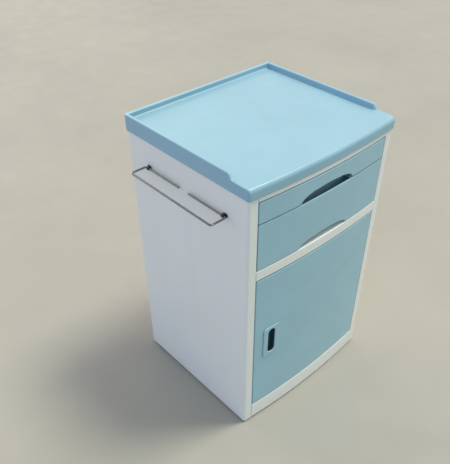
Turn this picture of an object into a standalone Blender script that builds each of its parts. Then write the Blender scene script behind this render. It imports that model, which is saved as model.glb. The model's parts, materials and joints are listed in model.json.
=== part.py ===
"""Bedside cabinet: a folded steel cabinet with a bowed front, a moulded tray top, two drawers on
three-section slides, a door on two pins and a fold-down wire towel rail.

Metres, +Z up, front towards -Y. The frame's origin is on the floor under the middle of the whole
object's box. Shapes are modelled about the cabinet's own centre line, x = 0, and the empty
"cabinet" carries them all to their place.
"""

import math

import bmesh
import bpy
from mathutils import Vector

# ---------------------------------------------------------------- driving dimensions
HEIGHT = 0.760
TOP_WIDTH = 0.470
TOP_SIDE_DEPTH = 0.420  # along the straight sides of the top
TOP_BOW = 0.0115  # how far the top's front edge bulges
BODY_WIDTH = 0.464
BODY_BOW = 0.013
FRONT_OVERHANG = 0.003  # of the top, at the front corners
BACK_OVERHANG = 0.005
FOOT_HEIGHT = 0.005
GAP = 0.0003  # between pieces that touch
REVEAL = 0.0025  # round drawers and door
STEEL = 0.001
STATIONS = 8  # straight steps in half of the bowed front
CUT = 0.010  # how far a cutter runs past what it cuts
ALMOST_ROUND = 0.999  # keeps a straight stretch between a slot's round ends

# heights on the front, from the top down
SKIRT_Z = 0.7195
TOP_RAIL_Z = 0.7080
DRAWER_1_Z = (0.6525, TOP_RAIL_Z - REVEAL)
DRAWER_2_Z = (0.5300, DRAWER_1_Z[0] - REVEAL)
MIDDLE_RAIL_Z = (0.4995, DRAWER_2_Z[0] - REVEAL)
DOOR_CLEARANCE = 0.003  # above and below the door, for the pins' washers
BASE_RAIL_Z = 0.0569
DOOR_Z = (BASE_RAIL_Z + DOOR_CLEARANCE, MIDDLE_RAIL_Z[0] - DOOR_CLEARANCE)

STILE_WIDTH = 0.0245
SIDE_CORNER_R = 0.006
STILE_RETURN = 0.018
BACK_FLANGE = 0.020
FRONT_WALL = 0.002  # the moulded fronts' wall
ARCHES = {1: (0.170, 0.0225), 2: (0.164, 0.0175)}  # each finger gap's chord and height
ARCH_STEPS = 14
WELL_LIP = 0.003  # what stays of the rim under a finger gap; behind it is a well for fingertips
WELL_SIDE = 0.003  # from the ends of the arch to the ends of the well

# top tray
TRAY_Z = 0.747
TRAY_WALL = 0.0025
TRAY_PLATE = 0.004
TRAY_SEAT = 0.022  # width of the flange that rests on the body
LIP_WIDTH = 0.009
LIP_END_Y = 0.052  # where the side lips end, behind the front corners
LIP_RAMP = 0.011
LIP_ROOT = 0.002  # sunk into the plate
NOSE = 0.010  # radius of the rounded front edge
TOP_FRONT_CORNER_R = 0.006
TOP_BACK_CORNER_R = 0.006

# inner sheet pieces
BACK_LIP = 0.015
FLOOR_LIP = 0.015
PARTITION_LIP = 0.012
PARTITION_RISE = 0.0055  # of the partition above the middle rail's lower edge
SHELF_Z = 0.290
SHELF_LIP = 0.015
SHELF_FRONT_Y = -0.150
SHELF_SIDE_ROOM = 0.002
SHELF_BACK_ROOM = 0.006
SHELF_CLIP_Y = (-0.120, 0.165)
SHELF_CLIP_LENGTH = 0.020
SHELF_CLIP_REACH = 0.016
SHELF_CLIP_DROP = 0.014
SHELF_CLIP_THICKNESS = 0.0015
CARRIER_BELOW = 0.026  # from the lower slides' mid-height
CARRIER_ABOVE = 0.022  # from the upper slides' mid-height
CARRIER_BEHIND = 0.010

# base channels and feet
CHANNEL_WIDTH = 0.030
CHANNEL_HEIGHT = 0.015
CHANNEL_BACK_Y = 0.190
FOOT_Y = (-0.168, 0.172)
FOOT_R = 0.014
FOOT_EDGE = 0.0015
STUD_R = 0.004
STUD_TOP_Z = 0.016
STUD_HOLE_R = 0.0043

# hinge and catch
PIVOT_FROM_EDGE = 0.014
PIVOT_FROM_FACE = 0.007
PIN_R = 0.003
PIN_LENGTH = 0.0125
WASHER_R = 0.008
WASHER = 0.0013
BUSH_BORE_R = 0.0031
BUSH_R = 0.0045
BUSH_HOLE_R = 0.0048
BUSH_LENGTH = 0.010
BUSH_FLANGE_R = 0.0065
BUSH_FLANGE = 0.0011
CATCH_X = (-0.170, -0.130)
CATCH_HEIGHT = 0.0145  # below the door's top edge
CATCH_DEPTH = 0.0145
STRIKE_PLATE = 0.001
STRIKE_DROP = 0.0025

# door pull
PULL_X = (-0.178, -0.127)
PULL_Z = (0.230, 0.329)
PULL_CORNER_R = 0.008
SLOT_WIDTH = 0.022
SLOT_HEIGHT = 0.080
CUP_DEPTH = 0.0145
CUP_WALL = 0.0015
CUP_CLEARANCE = 0.0005
BEZEL = 0.0025

# slides and drawers
SLIDE_LENGTH = 0.350
SLIDE_THICKNESS = 0.0127
SLIDE_Z = {1: 0.680, 2: 0.560}  # mid-heights
SLIDE_BEHIND_BOX_FRONT = 0.002
SLIDE_MEMBERS = (  # name, distance from the carrier, width, height, and is it open inwards
    ("outer", 0.0, 0.0080, 0.035, True),
    ("middle", 0.0020, 0.0080, 0.030, True),
    ("inner", SLIDE_THICKNESS - 0.0070, 0.0070, 0.024, False),
)
BOX_Z = {1: (0.661, 0.700), 2: (0.539, 0.630)}
BOX_DEPTH = 0.365
SCREW_X = 0.150
SCREW_DROP = 0.012  # below the box's upper edge
SCREW_HOLE_R = 0.0023
SCREW_R = 0.002
SCREW_LENGTH = 0.009
SCREW_HEAD_R = 0.0038
SCREW_HEAD = 0.0022

# towel rail
RAIL_Z = 0.654
RAIL_HALF = 0.140  # centre line to each arm
RAIL_REACH = 0.048  # front bar's centre line from the panel
RAIL_AXIS = 0.006  # back wire's centre line from the panel
RAIL_R = 0.0025
RAIL_BEND = 0.0055
RAIL_END = 0.015  # half of the space between the wire's two ends
RAIL_CLEARANCE = 0.0002
CLIP_Y = (0.1265, 0.139)  # the clip's foot along the panel
CLIP_FOOT = 0.002
CLIP_HALF_HEIGHT = 0.0048
BRIDGE_LENGTH = 0.0075
BRIDGE_HALF = 0.0042

# ---------------------------------------------------------------- derived dimensions
TOP_R = ((TOP_WIDTH / 2) ** 2 + TOP_BOW**2) / (2 * TOP_BOW)
BODY_R = ((BODY_WIDTH / 2) ** 2 + BODY_BOW**2) / (2 * BODY_BOW)
TOP_BACK_Y = (TOP_SIDE_DEPTH + TOP_BOW) / 2
TOP_CROWN_Y = -TOP_BACK_Y
TOP_CORNER_Y = TOP_BACK_Y - TOP_SIDE_DEPTH
BODY_BACK_Y = TOP_BACK_Y - BACK_OVERHANG
BODY_CORNER_Y = TOP_CORNER_Y + FRONT_OVERHANG
CROWN_Y = BODY_CORNER_Y - BODY_BOW
BODY_Z = FOOT_HEIGHT + GAP
BODY_TOP_Z = SKIRT_Z - GAP
SIDE_X = BODY_WIDTH / 2
SIDE_INNER_X = SIDE_X - STEEL - GAP
OPENING_X = SIDE_X - STILE_WIDTH
FRONT_X = OPENING_X - REVEAL
STATION_STEP = SIDE_X / STATIONS


def circle_rise(x, radius):
    return radius - math.sqrt(radius**2 - x**2)


def bow(x):
    """How far the front stands back from its crown at x, straight between stations."""
    station = math.floor(abs(x) / STATION_STEP + 1e-6)
    near = circle_rise(station * STATION_STEP, BODY_R)
    far = circle_rise((station + 1) * STATION_STEP, BODY_R)
    return near + (far - near) * (abs(x) / STATION_STEP - station)


FRONT_BACK_Y = CROWN_Y + bow(FRONT_X) + STILE_RETURN  # flat plane behind the bowed fronts
INNER_BACK_Y = BODY_BACK_Y - STEEL - GAP  # in front of the side panels' back flanges
INSIDE_Y = (FRONT_BACK_Y + 2 * GAP, INNER_BACK_Y - STEEL - GAP)
FLOOR_Z = BASE_RAIL_Z - STEEL - GAP
PARTITION_Z = MIDDLE_RAIL_Z[0] + PARTITION_RISE
CARRIER_X = OPENING_X - STEEL + GAP / 3  # the carriers' inner faces stand just inside the stiles
BOX_X = CARRIER_X - 2 * GAP - SLIDE_THICKNESS
BOX_FRONT_Y = FRONT_BACK_Y + GAP
SLIDE_FRONT_Y = BOX_FRONT_Y + SLIDE_BEHIND_BOX_FRONT
PIVOT = Vector((FRONT_X - PIVOT_FROM_EDGE, 0, 0))
PIVOT.y = CROWN_Y + bow(PIVOT.x) + PIVOT_FROM_FACE
RAIL_AXIS_X = -SIDE_X - RAIL_AXIS
CENTRE_X = (SIDE_X + RAIL_REACH + RAIL_R - TOP_WIDTH / 2) / 2
SIDES = (("left", -1), ("right", 1))

# ---------------------------------------------------------------- materials
FINISHES = {
    "top_plastic": ((0.30, 0.49, 0.62), 0.32, 0.0),
    "front_blue": ((0.30, 0.49, 0.60), 0.38, 0.0),
    "cup_plastic": ((0.02, 0.08, 0.11), 0.45, 0.0),
    "body_white": ((0.77, 0.78, 0.78), 0.40, 0.0),
    "zinc_steel": ((0.60, 0.61, 0.62), 0.35, 1.0),
    "rail_steel": ((0.30, 0.30, 0.31), 0.35, 1.0),
    "black_plastic": ((0.02, 0.02, 0.02), 0.45, 0.0),
    "grey_plastic": ((0.45, 0.46, 0.46), 0.50, 0.0),
    "foot_rubber": ((0.03, 0.03, 0.03), 0.80, 0.0),
}


def material(slot):
    found = bpy.data.materials.get(slot)
    if found:
        return found
    colour, roughness, metallic = FINISHES[slot]
    made = bpy.data.materials.new(slot)
    made.use_nodes = True
    shader = made.node_tree.nodes["Principled BSDF"]
    shader.inputs["Base Color"].default_value = (*colour, 1.0)
    shader.inputs["Roughness"].default_value = roughness
    shader.inputs["Metallic"].default_value = metallic
    return made


# ---------------------------------------------------------------- scene
for old in list(bpy.data.objects):
    bpy.data.objects.remove(old, do_unlink=True)

PARTS = bpy.data.collections.new("bedside_cabinet")
CUTTERS = bpy.data.collections.new("cutters")
bpy.context.scene.collection.children.link(PARTS)
bpy.context.scene.collection.children.link(CUTTERS)


def empty(name, place, parent=None):
    made = bpy.data.objects.new(name, None)
    made.empty_display_size = 0.03
    PARTS.objects.link(made)
    made.parent = parent
    made.location = place
    return made


ROOT = empty("cabinet", (CENTRE_X, 0, 0))
GROUPS = {
    "cabinet": ROOT,
    "drawer_1": empty("drawer_1_slide_axis", (0, FRONT_BACK_Y, SLIDE_Z[1]), ROOT),
    "drawer_1_middle": empty("drawer_1_middle_axis", (0, SLIDE_FRONT_Y, SLIDE_Z[1]), ROOT),
    "drawer_2": empty("drawer_2_slide_axis", (0, FRONT_BACK_Y, SLIDE_Z[2]), ROOT),
    "drawer_2_middle": empty("drawer_2_middle_axis", (0, SLIDE_FRONT_Y, SLIDE_Z[2]), ROOT),
    "door": empty("door_hinge_axis", PIVOT, ROOT),
    "rail": empty("towel_rail_axis", (RAIL_AXIS_X, 0, RAIL_Z), ROOT),
}


def place(piece, group, at):
    """Parents a piece to its group's empty, with its own origin at a point of the cabinet."""
    parent = GROUPS[group]
    piece.parent = parent
    piece.location = Vector(at) if parent is ROOT else Vector(at) - parent.location
    return piece


def publish(bm, name, group, slot, collection=PARTS):
    """Makes an object of a bmesh in cabinet coordinates, with its origin in its middle."""
    low = Vector(min(v.co[i] for v in bm.verts) for i in range(3))
    high = Vector(max(v.co[i] for v in bm.verts) for i in range(3))
    middle = (low + high) / 2
    bmesh.ops.translate(bm, verts=bm.verts, vec=-middle)
    mesh = bpy.data.meshes.new(name)
    bm.to_mesh(mesh)
    bm.free()
    mesh.materials.append(material(slot))
    piece = bpy.data.objects.new(name, mesh)
    collection.objects.link(piece)
    return place(piece, group, middle)


def as_cutter(piece):
    piece.hide_render = True
    piece.display_type = "WIRE"
    return piece


def cutter(bm, name):
    return as_cutter(publish(bm, name, "cabinet", "body_white", CUTTERS))


def boolean(piece, other, operation="DIFFERENCE"):
    modifier = piece.modifiers.new(other.name, "BOOLEAN")
    modifier.operation = operation
    modifier.object = other
    return piece


def sheet(piece, thickness=STEEL):
    """Gives a surface, whose faces point outwards, its thickness inwards."""
    modifier = piece.modifiers.new("sheet", "SOLIDIFY")
    modifier.thickness = thickness
    modifier.offset = -1
    modifier.use_even_offset = True
    return piece


# ---------------------------------------------------------------- shapes
def block(low, high):
    """A closed box between two corners."""
    bm = bmesh.new()
    bmesh.ops.create_cube(bm, size=1)
    for v in bm.verts:
        v.co = Vector(low[i] if v.co[i] < 0 else high[i] for i in range(3))
    return bm


def open_box(low, high, without):
    """A box of sheet: the sides named in without, such as "+Z", are left open."""
    bm = block(low, high)
    bm.normal_update()
    normals = [Vector([(-1 if side[0] == "-" else 1) * (axis == side[1]) for axis in "XYZ"])
               for side in without]
    gone = [f for f in bm.faces if any(f.normal.dot(n) > 0.9 for n in normals)]
    bmesh.ops.delete(bm, geom=gone, context="FACES")
    return bm


def prism(outline, low, high, axis="Z"):
    """A closed solid from a flat outline, extruded along Z, or along Y with the outline in XZ."""
    bm = bmesh.new()
    verts = [bm.verts.new((a, b, low) if axis == "Z" else (a, low, b)) for a, b in outline]
    face = bm.faces.new(verts)
    made = bmesh.ops.extrude_face_region(bm, geom=[face])["geom"]
    step = Vector((0, 0, high - low) if axis == "Z" else (0, high - low, 0))
    bmesh.ops.translate(bm, verts=[v for v in made if isinstance(v, bmesh.types.BMVert)], vec=step)
    bmesh.ops.recalc_face_normals(bm, faces=bm.faces)
    return bm


def arc(centre, radius, start, end, steps):
    """Points on an arc, from the start angle to the end angle in degrees, ends included."""
    angles = [math.radians(start + (end - start) * i / steps) for i in range(steps + 1)]
    return [(centre[0] + radius * math.cos(a), centre[1] + radius * math.sin(a)) for a in angles]


def rounded_rectangle(x0, x1, z0, z1, radius, steps=5):
    corners = ((x1, z1, 0), (x0, z1, 90), (x0, z0, 180), (x1, z0, 270))
    points = []
    for x, z, turn in corners:
        centre = (x + (radius if x == x0 else -radius), z + (radius if z == z0 else -radius))
        points += arc(centre, radius, turn, turn + 90, steps)
    return points


def slice_at_stations(bm):
    """Cuts a flat front piece upright at each station, so that it can follow the bow."""
    for i in range(-STATIONS + 1, STATIONS):
        everything = bm.verts[:] + bm.edges[:] + bm.faces[:]
        bmesh.ops.bisect_plane(bm, geom=everything, dist=1e-6, plane_co=(i * STATION_STEP, 0, 0),
                               plane_no=(1, 0, 0))


def follow_bow(bm, behind=math.inf):
    """Sets every point in front of the plane y = behind back by the bow at its own x."""
    slice_at_stations(bm)
    for v in bm.verts:
        if v.co.y < behind:
            v.co.y += bow(v.co.x)


def front_outline(z0, z1, inset=0.0, arch=None):
    """A drawer front's or the door's outline in XZ, or one inset from it all round.

    An arch, given as its chord and height, is a finger gap in the lower edge, half an ellipse."""
    x1 = FRONT_X - inset
    outline = [(x1, z0 + inset), (x1, z1 - inset), (-x1, z1 - inset), (-x1, z0 + inset)]
    if arch:
        chord, height = arch
        for i in range(ARCH_STEPS + 1):
            angle = math.pi * (1 - i / ARCH_STEPS)
            point = Vector((chord / 2 * math.cos(angle), height * math.sin(angle)))
            outwards = Vector((height * math.cos(angle), chord / 2 * math.sin(angle)))
            point += outwards.normalized() * inset
            outline.append((point.x, z0 + max(point.y, inset)))
    return outline


def front_shell(z0, z1, arch=None, width=FRONT_X, side_rims=True):
    """The surface of a bowed front: its face, and rims that run back to one flat plane."""
    outline = front_outline(z0, z1, arch=arch)
    outline = [(math.copysign(width, x) if abs(x) == FRONT_X else x, z) for x, z in outline]
    bm = bmesh.new()
    face = bm.faces.new([bm.verts.new((x, CROWN_Y, z)) for x, z in outline])
    if face.normal.y > 0:
        face.normal_flip()
    edges = [e for e in face.edges if side_rims or abs(e.verts[0].co.x - e.verts[1].co.x) > GAP]
    made = bmesh.ops.extrude_edge_only(bm, edges=edges)["geom"]
    for v in made:
        if isinstance(v, bmesh.types.BMVert):
            v.co.y = FRONT_BACK_Y
    bmesh.ops.recalc_face_normals(bm, faces=bm.faces)
    bm.normal_update()
    flat = max(bm.faces, key=lambda f: f.calc_area())
    if flat.normal.y > 0:
        bmesh.ops.reverse_faces(bm, faces=bm.faces)
    follow_bow(bm, behind=CROWN_Y + STEEL)
    return bm


def top_outline(inset=0.0, front_steps=16):
    """The top's outline in plan: straight sides and back, a bowed front and round corners."""
    side = TOP_WIDTH / 2 - inset
    back = TOP_BACK_Y - inset
    radius = TOP_R - inset
    bow_y = TOP_CROWN_Y + TOP_R  # the bow's centre
    rear = max(TOP_BACK_CORNER_R - inset, 0.001)
    front = max(TOP_FRONT_CORNER_R - inset, 0.001)
    front_y = bow_y - math.sqrt((radius - front) ** 2 - (side - front) ** 2)
    turn = math.degrees(math.atan2(front_y - bow_y, side - front))
    points = arc((side - rear, back - rear), rear, 0, 90, 3)
    points += arc((rear - side, back - rear), rear, 90, 180, 3)
    points += arc((front - side, front_y), front, 180, 180 - turn, 5)
    points += arc((0, bow_y), radius, -180 - turn, turn, front_steps)[1:-1]
    points += arc((side - front, front_y), front, turn, 0, 5)
    return points


def bullnosed(outline, low, high, radius, steps=5):
    """A prism of the top's outline whose upper front edge is rounded from side to side."""
    levels = [(low, 0.0)]
    for i in range(steps + 1):
        angle = math.pi / 2 * i / steps
        levels.append((high - radius * (1 - math.sin(angle)), radius * (1 - math.cos(angle))))
    bm = bmesh.new()
    rings = [[bm.verts.new((x, y + back if y < 0 else y, z)) for x, y in outline]
             for z, back in levels]
    bm.faces.new(rings[0][::-1])
    bm.faces.new(rings[-1])
    for lower, upper in zip(rings, rings[1:]):
        for i in range(len(outline)):
            bm.faces.new((lower[i - 1], lower[i], upper[i], upper[i - 1]))
    bmesh.ops.recalc_face_normals(bm, faces=bm.faces)
    return bm


def turned(name, group, slot, profile, at, steps=20):
    """A turned piece on an upright axis. The profile (radius, z) runs down its outer side."""
    closed = profile[0][0] > 0
    mesh = bpy.data.meshes.new(name)
    edges = [(i, i + 1) for i in range(len(profile) - 1)]
    if closed:
        edges.append((len(profile) - 1, 0))
    mesh.from_pydata([(r, 0, z) for r, z in profile], edges, [])
    mesh.materials.append(material(slot))
    piece = bpy.data.objects.new(name, mesh)
    PARTS.objects.link(piece)
    screw = piece.modifiers.new("turn", "SCREW")
    screw.steps = steps
    screw.render_steps = steps
    screw.use_merge_vertices = True
    screw.merge_threshold = 0.00001
    screw.use_smooth_shade = True
    return place(piece, group, at)


def cylinder(radius, low, high, at, steps=20):
    """A closed upright cylinder, used for holes."""
    bm = bmesh.new()
    bmesh.ops.create_cone(bm, cap_ends=True, segments=steps, radius1=radius, radius2=radius,
                          depth=high - low)
    bmesh.ops.translate(bm, verts=bm.verts, vec=(at[0], at[1], (low + high) / 2))
    return bm


# ---------------------------------------------------------------- cabinet
def side_panel(name, side):
    """One sheet: back flange, side, round corner, stile and its return, as a strip in plan."""
    corner = (-SIDE_X + SIDE_CORNER_R, CROWN_Y + bow(SIDE_X - SIDE_CORNER_R) + SIDE_CORNER_R)
    points = [(-SIDE_X + BACK_FLANGE, BODY_BACK_Y), (-SIDE_X, BODY_BACK_Y)]
    points += arc(corner, SIDE_CORNER_R, 180, 270, 5)
    points += [(-OPENING_X, CROWN_Y + bow(OPENING_X))]
    points += [(-OPENING_X, CROWN_Y + bow(OPENING_X) + STILE_RETURN)]
    bm = bmesh.new()
    verts = [bm.verts.new((x * -side, y, BODY_Z)) for x, y in points]
    edges = [bm.edges.new(pair) for pair in zip(verts, verts[1:])]
    made = bmesh.ops.extrude_edge_only(bm, edges=edges)["geom"]
    for v in made:
        if isinstance(v, bmesh.types.BMVert):
            v.co.z = BODY_TOP_Z
    bmesh.ops.recalc_face_normals(bm, faces=bm.faces)
    bm.normal_update()
    panel = max(bm.faces, key=lambda f: f.calc_area())
    if panel.normal.x * side < 0:
        bmesh.ops.reverse_faces(bm, faces=bm.faces)
    return sheet(publish(bm, name, "cabinet", "body_white"))


def rail(name, z0, z1):
    """A bowed channel between the stiles, open to the back."""
    bm = front_shell(z0, z1, width=OPENING_X - GAP, side_rims=False)
    return sheet(publish(bm, name, "cabinet", "body_white"))


def finger_well(piece, top_z):
    """Cuts away a drawer front's top rim under the arch above it, all but a lip at the front."""
    half = ARCHES[1][0] / 2 - WELL_SIDE
    well = block((-half, CROWN_Y + WELL_LIP, top_z - 2 * FRONT_WALL),
                 (half, FRONT_BACK_Y + CUT, top_z + CUT))
    follow_bow(well, behind=FRONT_BACK_Y)
    boolean(piece, cutter(well, f"{piece.name}_well"))


def lip_front_cutter():
    """Everything in front of the side lips' sloping ends."""
    end = LIP_END_Y + TOP_CORNER_Y
    bottom = TRAY_Z - LIP_ROOT - CUT
    slope = [(end, bottom), (end, TRAY_Z), (end + LIP_RAMP, HEIGHT),
             (end + LIP_RAMP, HEIGHT + CUT), (-TOP_WIDTH, HEIGHT + CUT), (-TOP_WIDTH, bottom)]
    bm = prism(slope, -TOP_WIDTH, TOP_WIDTH)
    for v in bm.verts:
        v.co = Vector((v.co.z, v.co.x, v.co.y))
    return cutter(bm, "lip_front")


def top_tray():
    """A moulding open underneath, with a seat flange all round and a lip on three sides."""
    bm = bullnosed(top_outline(), SKIRT_Z, TRAY_Z, NOSE)
    tray = publish(bm, "top_tray", "cabinet", "top_plastic")

    lip = cutter(prism(top_outline(), TRAY_Z - LIP_ROOT, HEIGHT), "lip_blank")
    well = cutter(prism(top_outline(LIP_WIDTH), TRAY_Z - LIP_ROOT - CUT, HEIGHT + CUT), "lip_well")
    boolean(lip, well)
    boolean(lip, lip_front_cutter())
    boolean(tray, lip, "UNION")

    hollow = cutter(bullnosed(top_outline(TRAY_WALL), SKIRT_Z + TRAY_WALL, TRAY_Z - TRAY_PLATE,
                              NOSE - TRAY_WALL), "tray_hollow")
    mouth = cutter(prism(top_outline(TRAY_SEAT), SKIRT_Z - CUT, SKIRT_Z + 2 * TRAY_WALL),
                   "tray_mouth")
    boolean(tray, hollow)
    boolean(tray, mouth)
    return tray


def pan(name, low, high, without):
    """A white steel pan between two corners, without the sides named."""
    return sheet(publish(open_box(low, high, without), name, "cabinet", "body_white"))


def body():
    side_panel("left_side_panel", -1)
    side_panel("right_side_panel", 1)
    rail("top_rail", TOP_RAIL_Z, BODY_TOP_Z)
    rail("middle_rail", *MIDDLE_RAIL_Z)
    rail("base_rail", BODY_Z, BASE_RAIL_Z)
    pan("back_panel", (-SIDE_INNER_X, INNER_BACK_Y - BACK_LIP, BODY_Z),
        (SIDE_INNER_X, INNER_BACK_Y, BODY_TOP_Z), ("-Y", "+X", "-X"))
    pan("floor_panel", (-SIDE_INNER_X, INSIDE_Y[0], FLOOR_Z - FLOOR_LIP),
        (SIDE_INNER_X, INSIDE_Y[1], FLOOR_Z), ("-Z", "-Y"))
    pan("partition_panel", (-SIDE_INNER_X, INSIDE_Y[0], PARTITION_Z - PARTITION_LIP),
        (SIDE_INNER_X, INSIDE_Y[1], PARTITION_Z), ("-Z", "-Y"))


def shelf():
    """A loose pan, resting on four angle clips on the side panels."""
    half = SIDE_INNER_X - SHELF_SIDE_ROOM
    pan("shelf", (-half, SHELF_FRONT_Y, SHELF_Z - SHELF_LIP),
        (half, INNER_BACK_Y - SHELF_BACK_ROOM, SHELF_Z), ("-Z",))
    for side_name, side in SIDES:
        for end_name, y in zip(("front", "rear"), SHELF_CLIP_Y):
            shelf_clip(f"shelf_clip_{side_name}_{end_name}", side, y)


def shelf_clip(name, side, y):
    """A small angle: one leg on the side panel, the other under the shelf's lip."""
    top = SHELF_Z - SHELF_LIP - GAP
    inner = SHELF_CLIP_THICKNESS
    outline = [(0, top), (0, top - SHELF_CLIP_DROP), (inner, top - SHELF_CLIP_DROP),
               (inner, top - inner), (SHELF_CLIP_REACH, top - inner), (SHELF_CLIP_REACH, top)]
    outline = [(side * (SIDE_INNER_X - x), z) for x, z in outline]
    half = SHELF_CLIP_LENGTH / 2
    publish(prism(outline, y - half, y + half, axis="Y"), name, "cabinet", "zinc_steel")


def base():
    """A channel along each side at the bottom, with a screwed-in foot at each end."""
    for side_name, side in SIDES:
        xs = sorted((side * SIDE_INNER_X, side * (SIDE_INNER_X - CHANNEL_WIDTH)))
        channel = pan(f"{side_name}_base_channel", (xs[0], FRONT_BACK_Y + STEEL, BODY_Z),
                      (xs[1], CHANNEL_BACK_Y, BODY_Z + CHANNEL_HEIGHT), ("+Z", "+Y", "-Y"))
        for end_name, y in zip(("front", "rear"), FOOT_Y):
            at = (sum(xs) / 2, y)
            hole = cylinder(STUD_HOLE_R, BODY_Z - STEEL, BODY_Z + 2 * STEEL, at)
            boolean(channel, cutter(hole, f"foot_hole_{side_name}_{end_name}"))
            foot(f"foot_{side_name}_{end_name}", (*at, 0))


def foot(name, at):
    """A rubber pad with a stud up through the channel."""
    waist = FOOT_R - FOOT_EDGE
    profile = [(0, STUD_TOP_Z), (STUD_R, STUD_TOP_Z), (STUD_R, FOOT_HEIGHT),
               (waist, FOOT_HEIGHT), (FOOT_R, FOOT_HEIGHT - FOOT_EDGE), (waist, 0), (0, 0)]
    turned(name, "cabinet", "foot_rubber", profile, at, steps=16)


def hinge_pins():
    """A washer and pin under the middle rail, and the same upside down on the base rail."""
    under = MIDDLE_RAIL_Z[0] - GAP
    over = BASE_RAIL_Z + GAP
    profile = [(0, 0), (WASHER_R, 0), (WASHER_R, -WASHER), (PIN_R, -WASHER),
               (PIN_R, -PIN_LENGTH), (0, -PIN_LENGTH)]
    top = [(r, under + z) for r, z in profile]
    bottom = [(r, over - z) for r, z in reversed(profile)]
    turned("hinge_pin_top", "cabinet", "zinc_steel", top, (PIVOT.x, PIVOT.y, 0))
    turned("hinge_pin_bottom", "cabinet", "zinc_steel", bottom, (PIVOT.x, PIVOT.y, 0))


def magnetic_catch():
    """Hangs from the partition, just behind the door's strike plate."""
    face_y = FRONT_BACK_Y + STRIKE_PLATE + 2 * GAP
    bm = block((CATCH_X[0], face_y, DOOR_Z[1] - CATCH_HEIGHT),
               (CATCH_X[1], face_y + CATCH_DEPTH, PARTITION_Z - STEEL - GAP))
    publish(bm, "magnetic_catch", "cabinet", "grey_plastic")


# ---------------------------------------------------------------- drawers
def carriers():
    """A deep pan on each side panel brings the slides in line with the front opening."""
    for side_name, side in SIDES:
        xs = sorted((side * SIDE_INNER_X, side * CARRIER_X))
        pan(f"{side_name}_slide_carrier",
            (xs[0], SLIDE_FRONT_Y - STEEL, SLIDE_Z[2] - CARRIER_BELOW),
            (xs[1], SLIDE_FRONT_Y + SLIDE_LENGTH + CARRIER_BEHIND, SLIDE_Z[1] + CARRIER_ABOVE),
            ("-X" if side < 0 else "+X",))


def slide(number, side_name, side):
    """Outer, middle and inner members: channels nested in each other, seen from the end."""
    groups = {"outer": "cabinet", "middle": f"drawer_{number}_middle", "inner": f"drawer_{number}"}
    for member, distance, width, height, opens_inwards in SLIDE_MEMBERS:
        outside = CARRIER_X - GAP - distance
        xs = sorted((side * outside, side * (outside - width)))
        low = (xs[0], SLIDE_FRONT_Y, SLIDE_Z[number] - height / 2)
        high = (xs[1], SLIDE_FRONT_Y + SLIDE_LENGTH, SLIDE_Z[number] + height / 2)
        open_side = "+X" if (side < 0) == opens_inwards else "-X"
        name = f"drawer_{number}_{side_name}_slide_{member}"
        channel = publish(open_box(low, high, (open_side, "+Y", "-Y")), name, groups[member],
                          "zinc_steel")
        sheet(channel)


def drawer(number, z):
    """A moulded front on a backing plate, screwed to the front wall of a steel box on slides."""
    group = f"drawer_{number}"
    front = front_shell(*z, ARCHES[number])
    front = sheet(publish(front, f"{group}_front", group, "front_blue"), FRONT_WALL)
    if number == 2:
        finger_well(front, z[1])
    plate = prism(front_outline(*z, inset=FRONT_WALL + GAP, arch=ARCHES[number]),
                  FRONT_BACK_Y - STEEL, FRONT_BACK_Y, axis="Y")
    backing = publish(plate, f"{group}_backing_plate", group, "front_blue")

    low_z, high_z = BOX_Z[number]
    wall = block((-BOX_X, BOX_FRONT_Y, low_z), (BOX_X, BOX_FRONT_Y + STEEL, high_z))
    box_front = publish(wall, f"{group}_box_front", group, "body_white")
    box = open_box((-BOX_X, BOX_FRONT_Y + STEEL + GAP, low_z),
                   (BOX_X, BOX_FRONT_Y + BOX_DEPTH, high_z), ("+Z", "-Y"))
    sheet(publish(box, f"{group}_box", group, "body_white"))

    screw_z = high_z - SCREW_DROP
    for side_name, side in SIDES:
        hole = cylinder(SCREW_HOLE_R, -CUT, CUT, (0, 0), steps=12)
        lay_along_y(hole, (side * SCREW_X, BOX_FRONT_Y, screw_z))
        hole = cutter(hole, f"{group}_screw_hole_{side_name}")
        boolean(backing, hole)
        boolean(box_front, hole)
        screw(f"{group}_screw_{side_name}", group,
              (side * SCREW_X, BOX_FRONT_Y + STEEL + GAP, screw_z))
        slide(number, side_name, side)


def lay_along_y(bm, at):
    """Turns an upright shape so that its top points to +Y, and moves it."""
    for v in bm.verts:
        v.co = Vector((v.co.x + at[0], v.co.z + at[1], at[2] - v.co.y))


def screw(name, group, at):
    """A pan-head screw whose head is inside the drawer and whose shank points forward."""
    dome_r = SCREW_HEAD_R * 0.7
    profile = [(0, SCREW_HEAD), (dome_r, SCREW_HEAD * 0.8), (SCREW_HEAD_R, SCREW_HEAD * 0.3),
               (SCREW_HEAD_R, 0), (SCREW_R, 0), (SCREW_R, SCREW_R / 2 - SCREW_LENGTH),
               (SCREW_R / 2, -SCREW_LENGTH), (0, -SCREW_LENGTH)]
    piece = turned(name, group, "zinc_steel", profile, at, steps=12)
    piece.rotation_euler = (-math.pi / 2, 0, 0)


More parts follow.
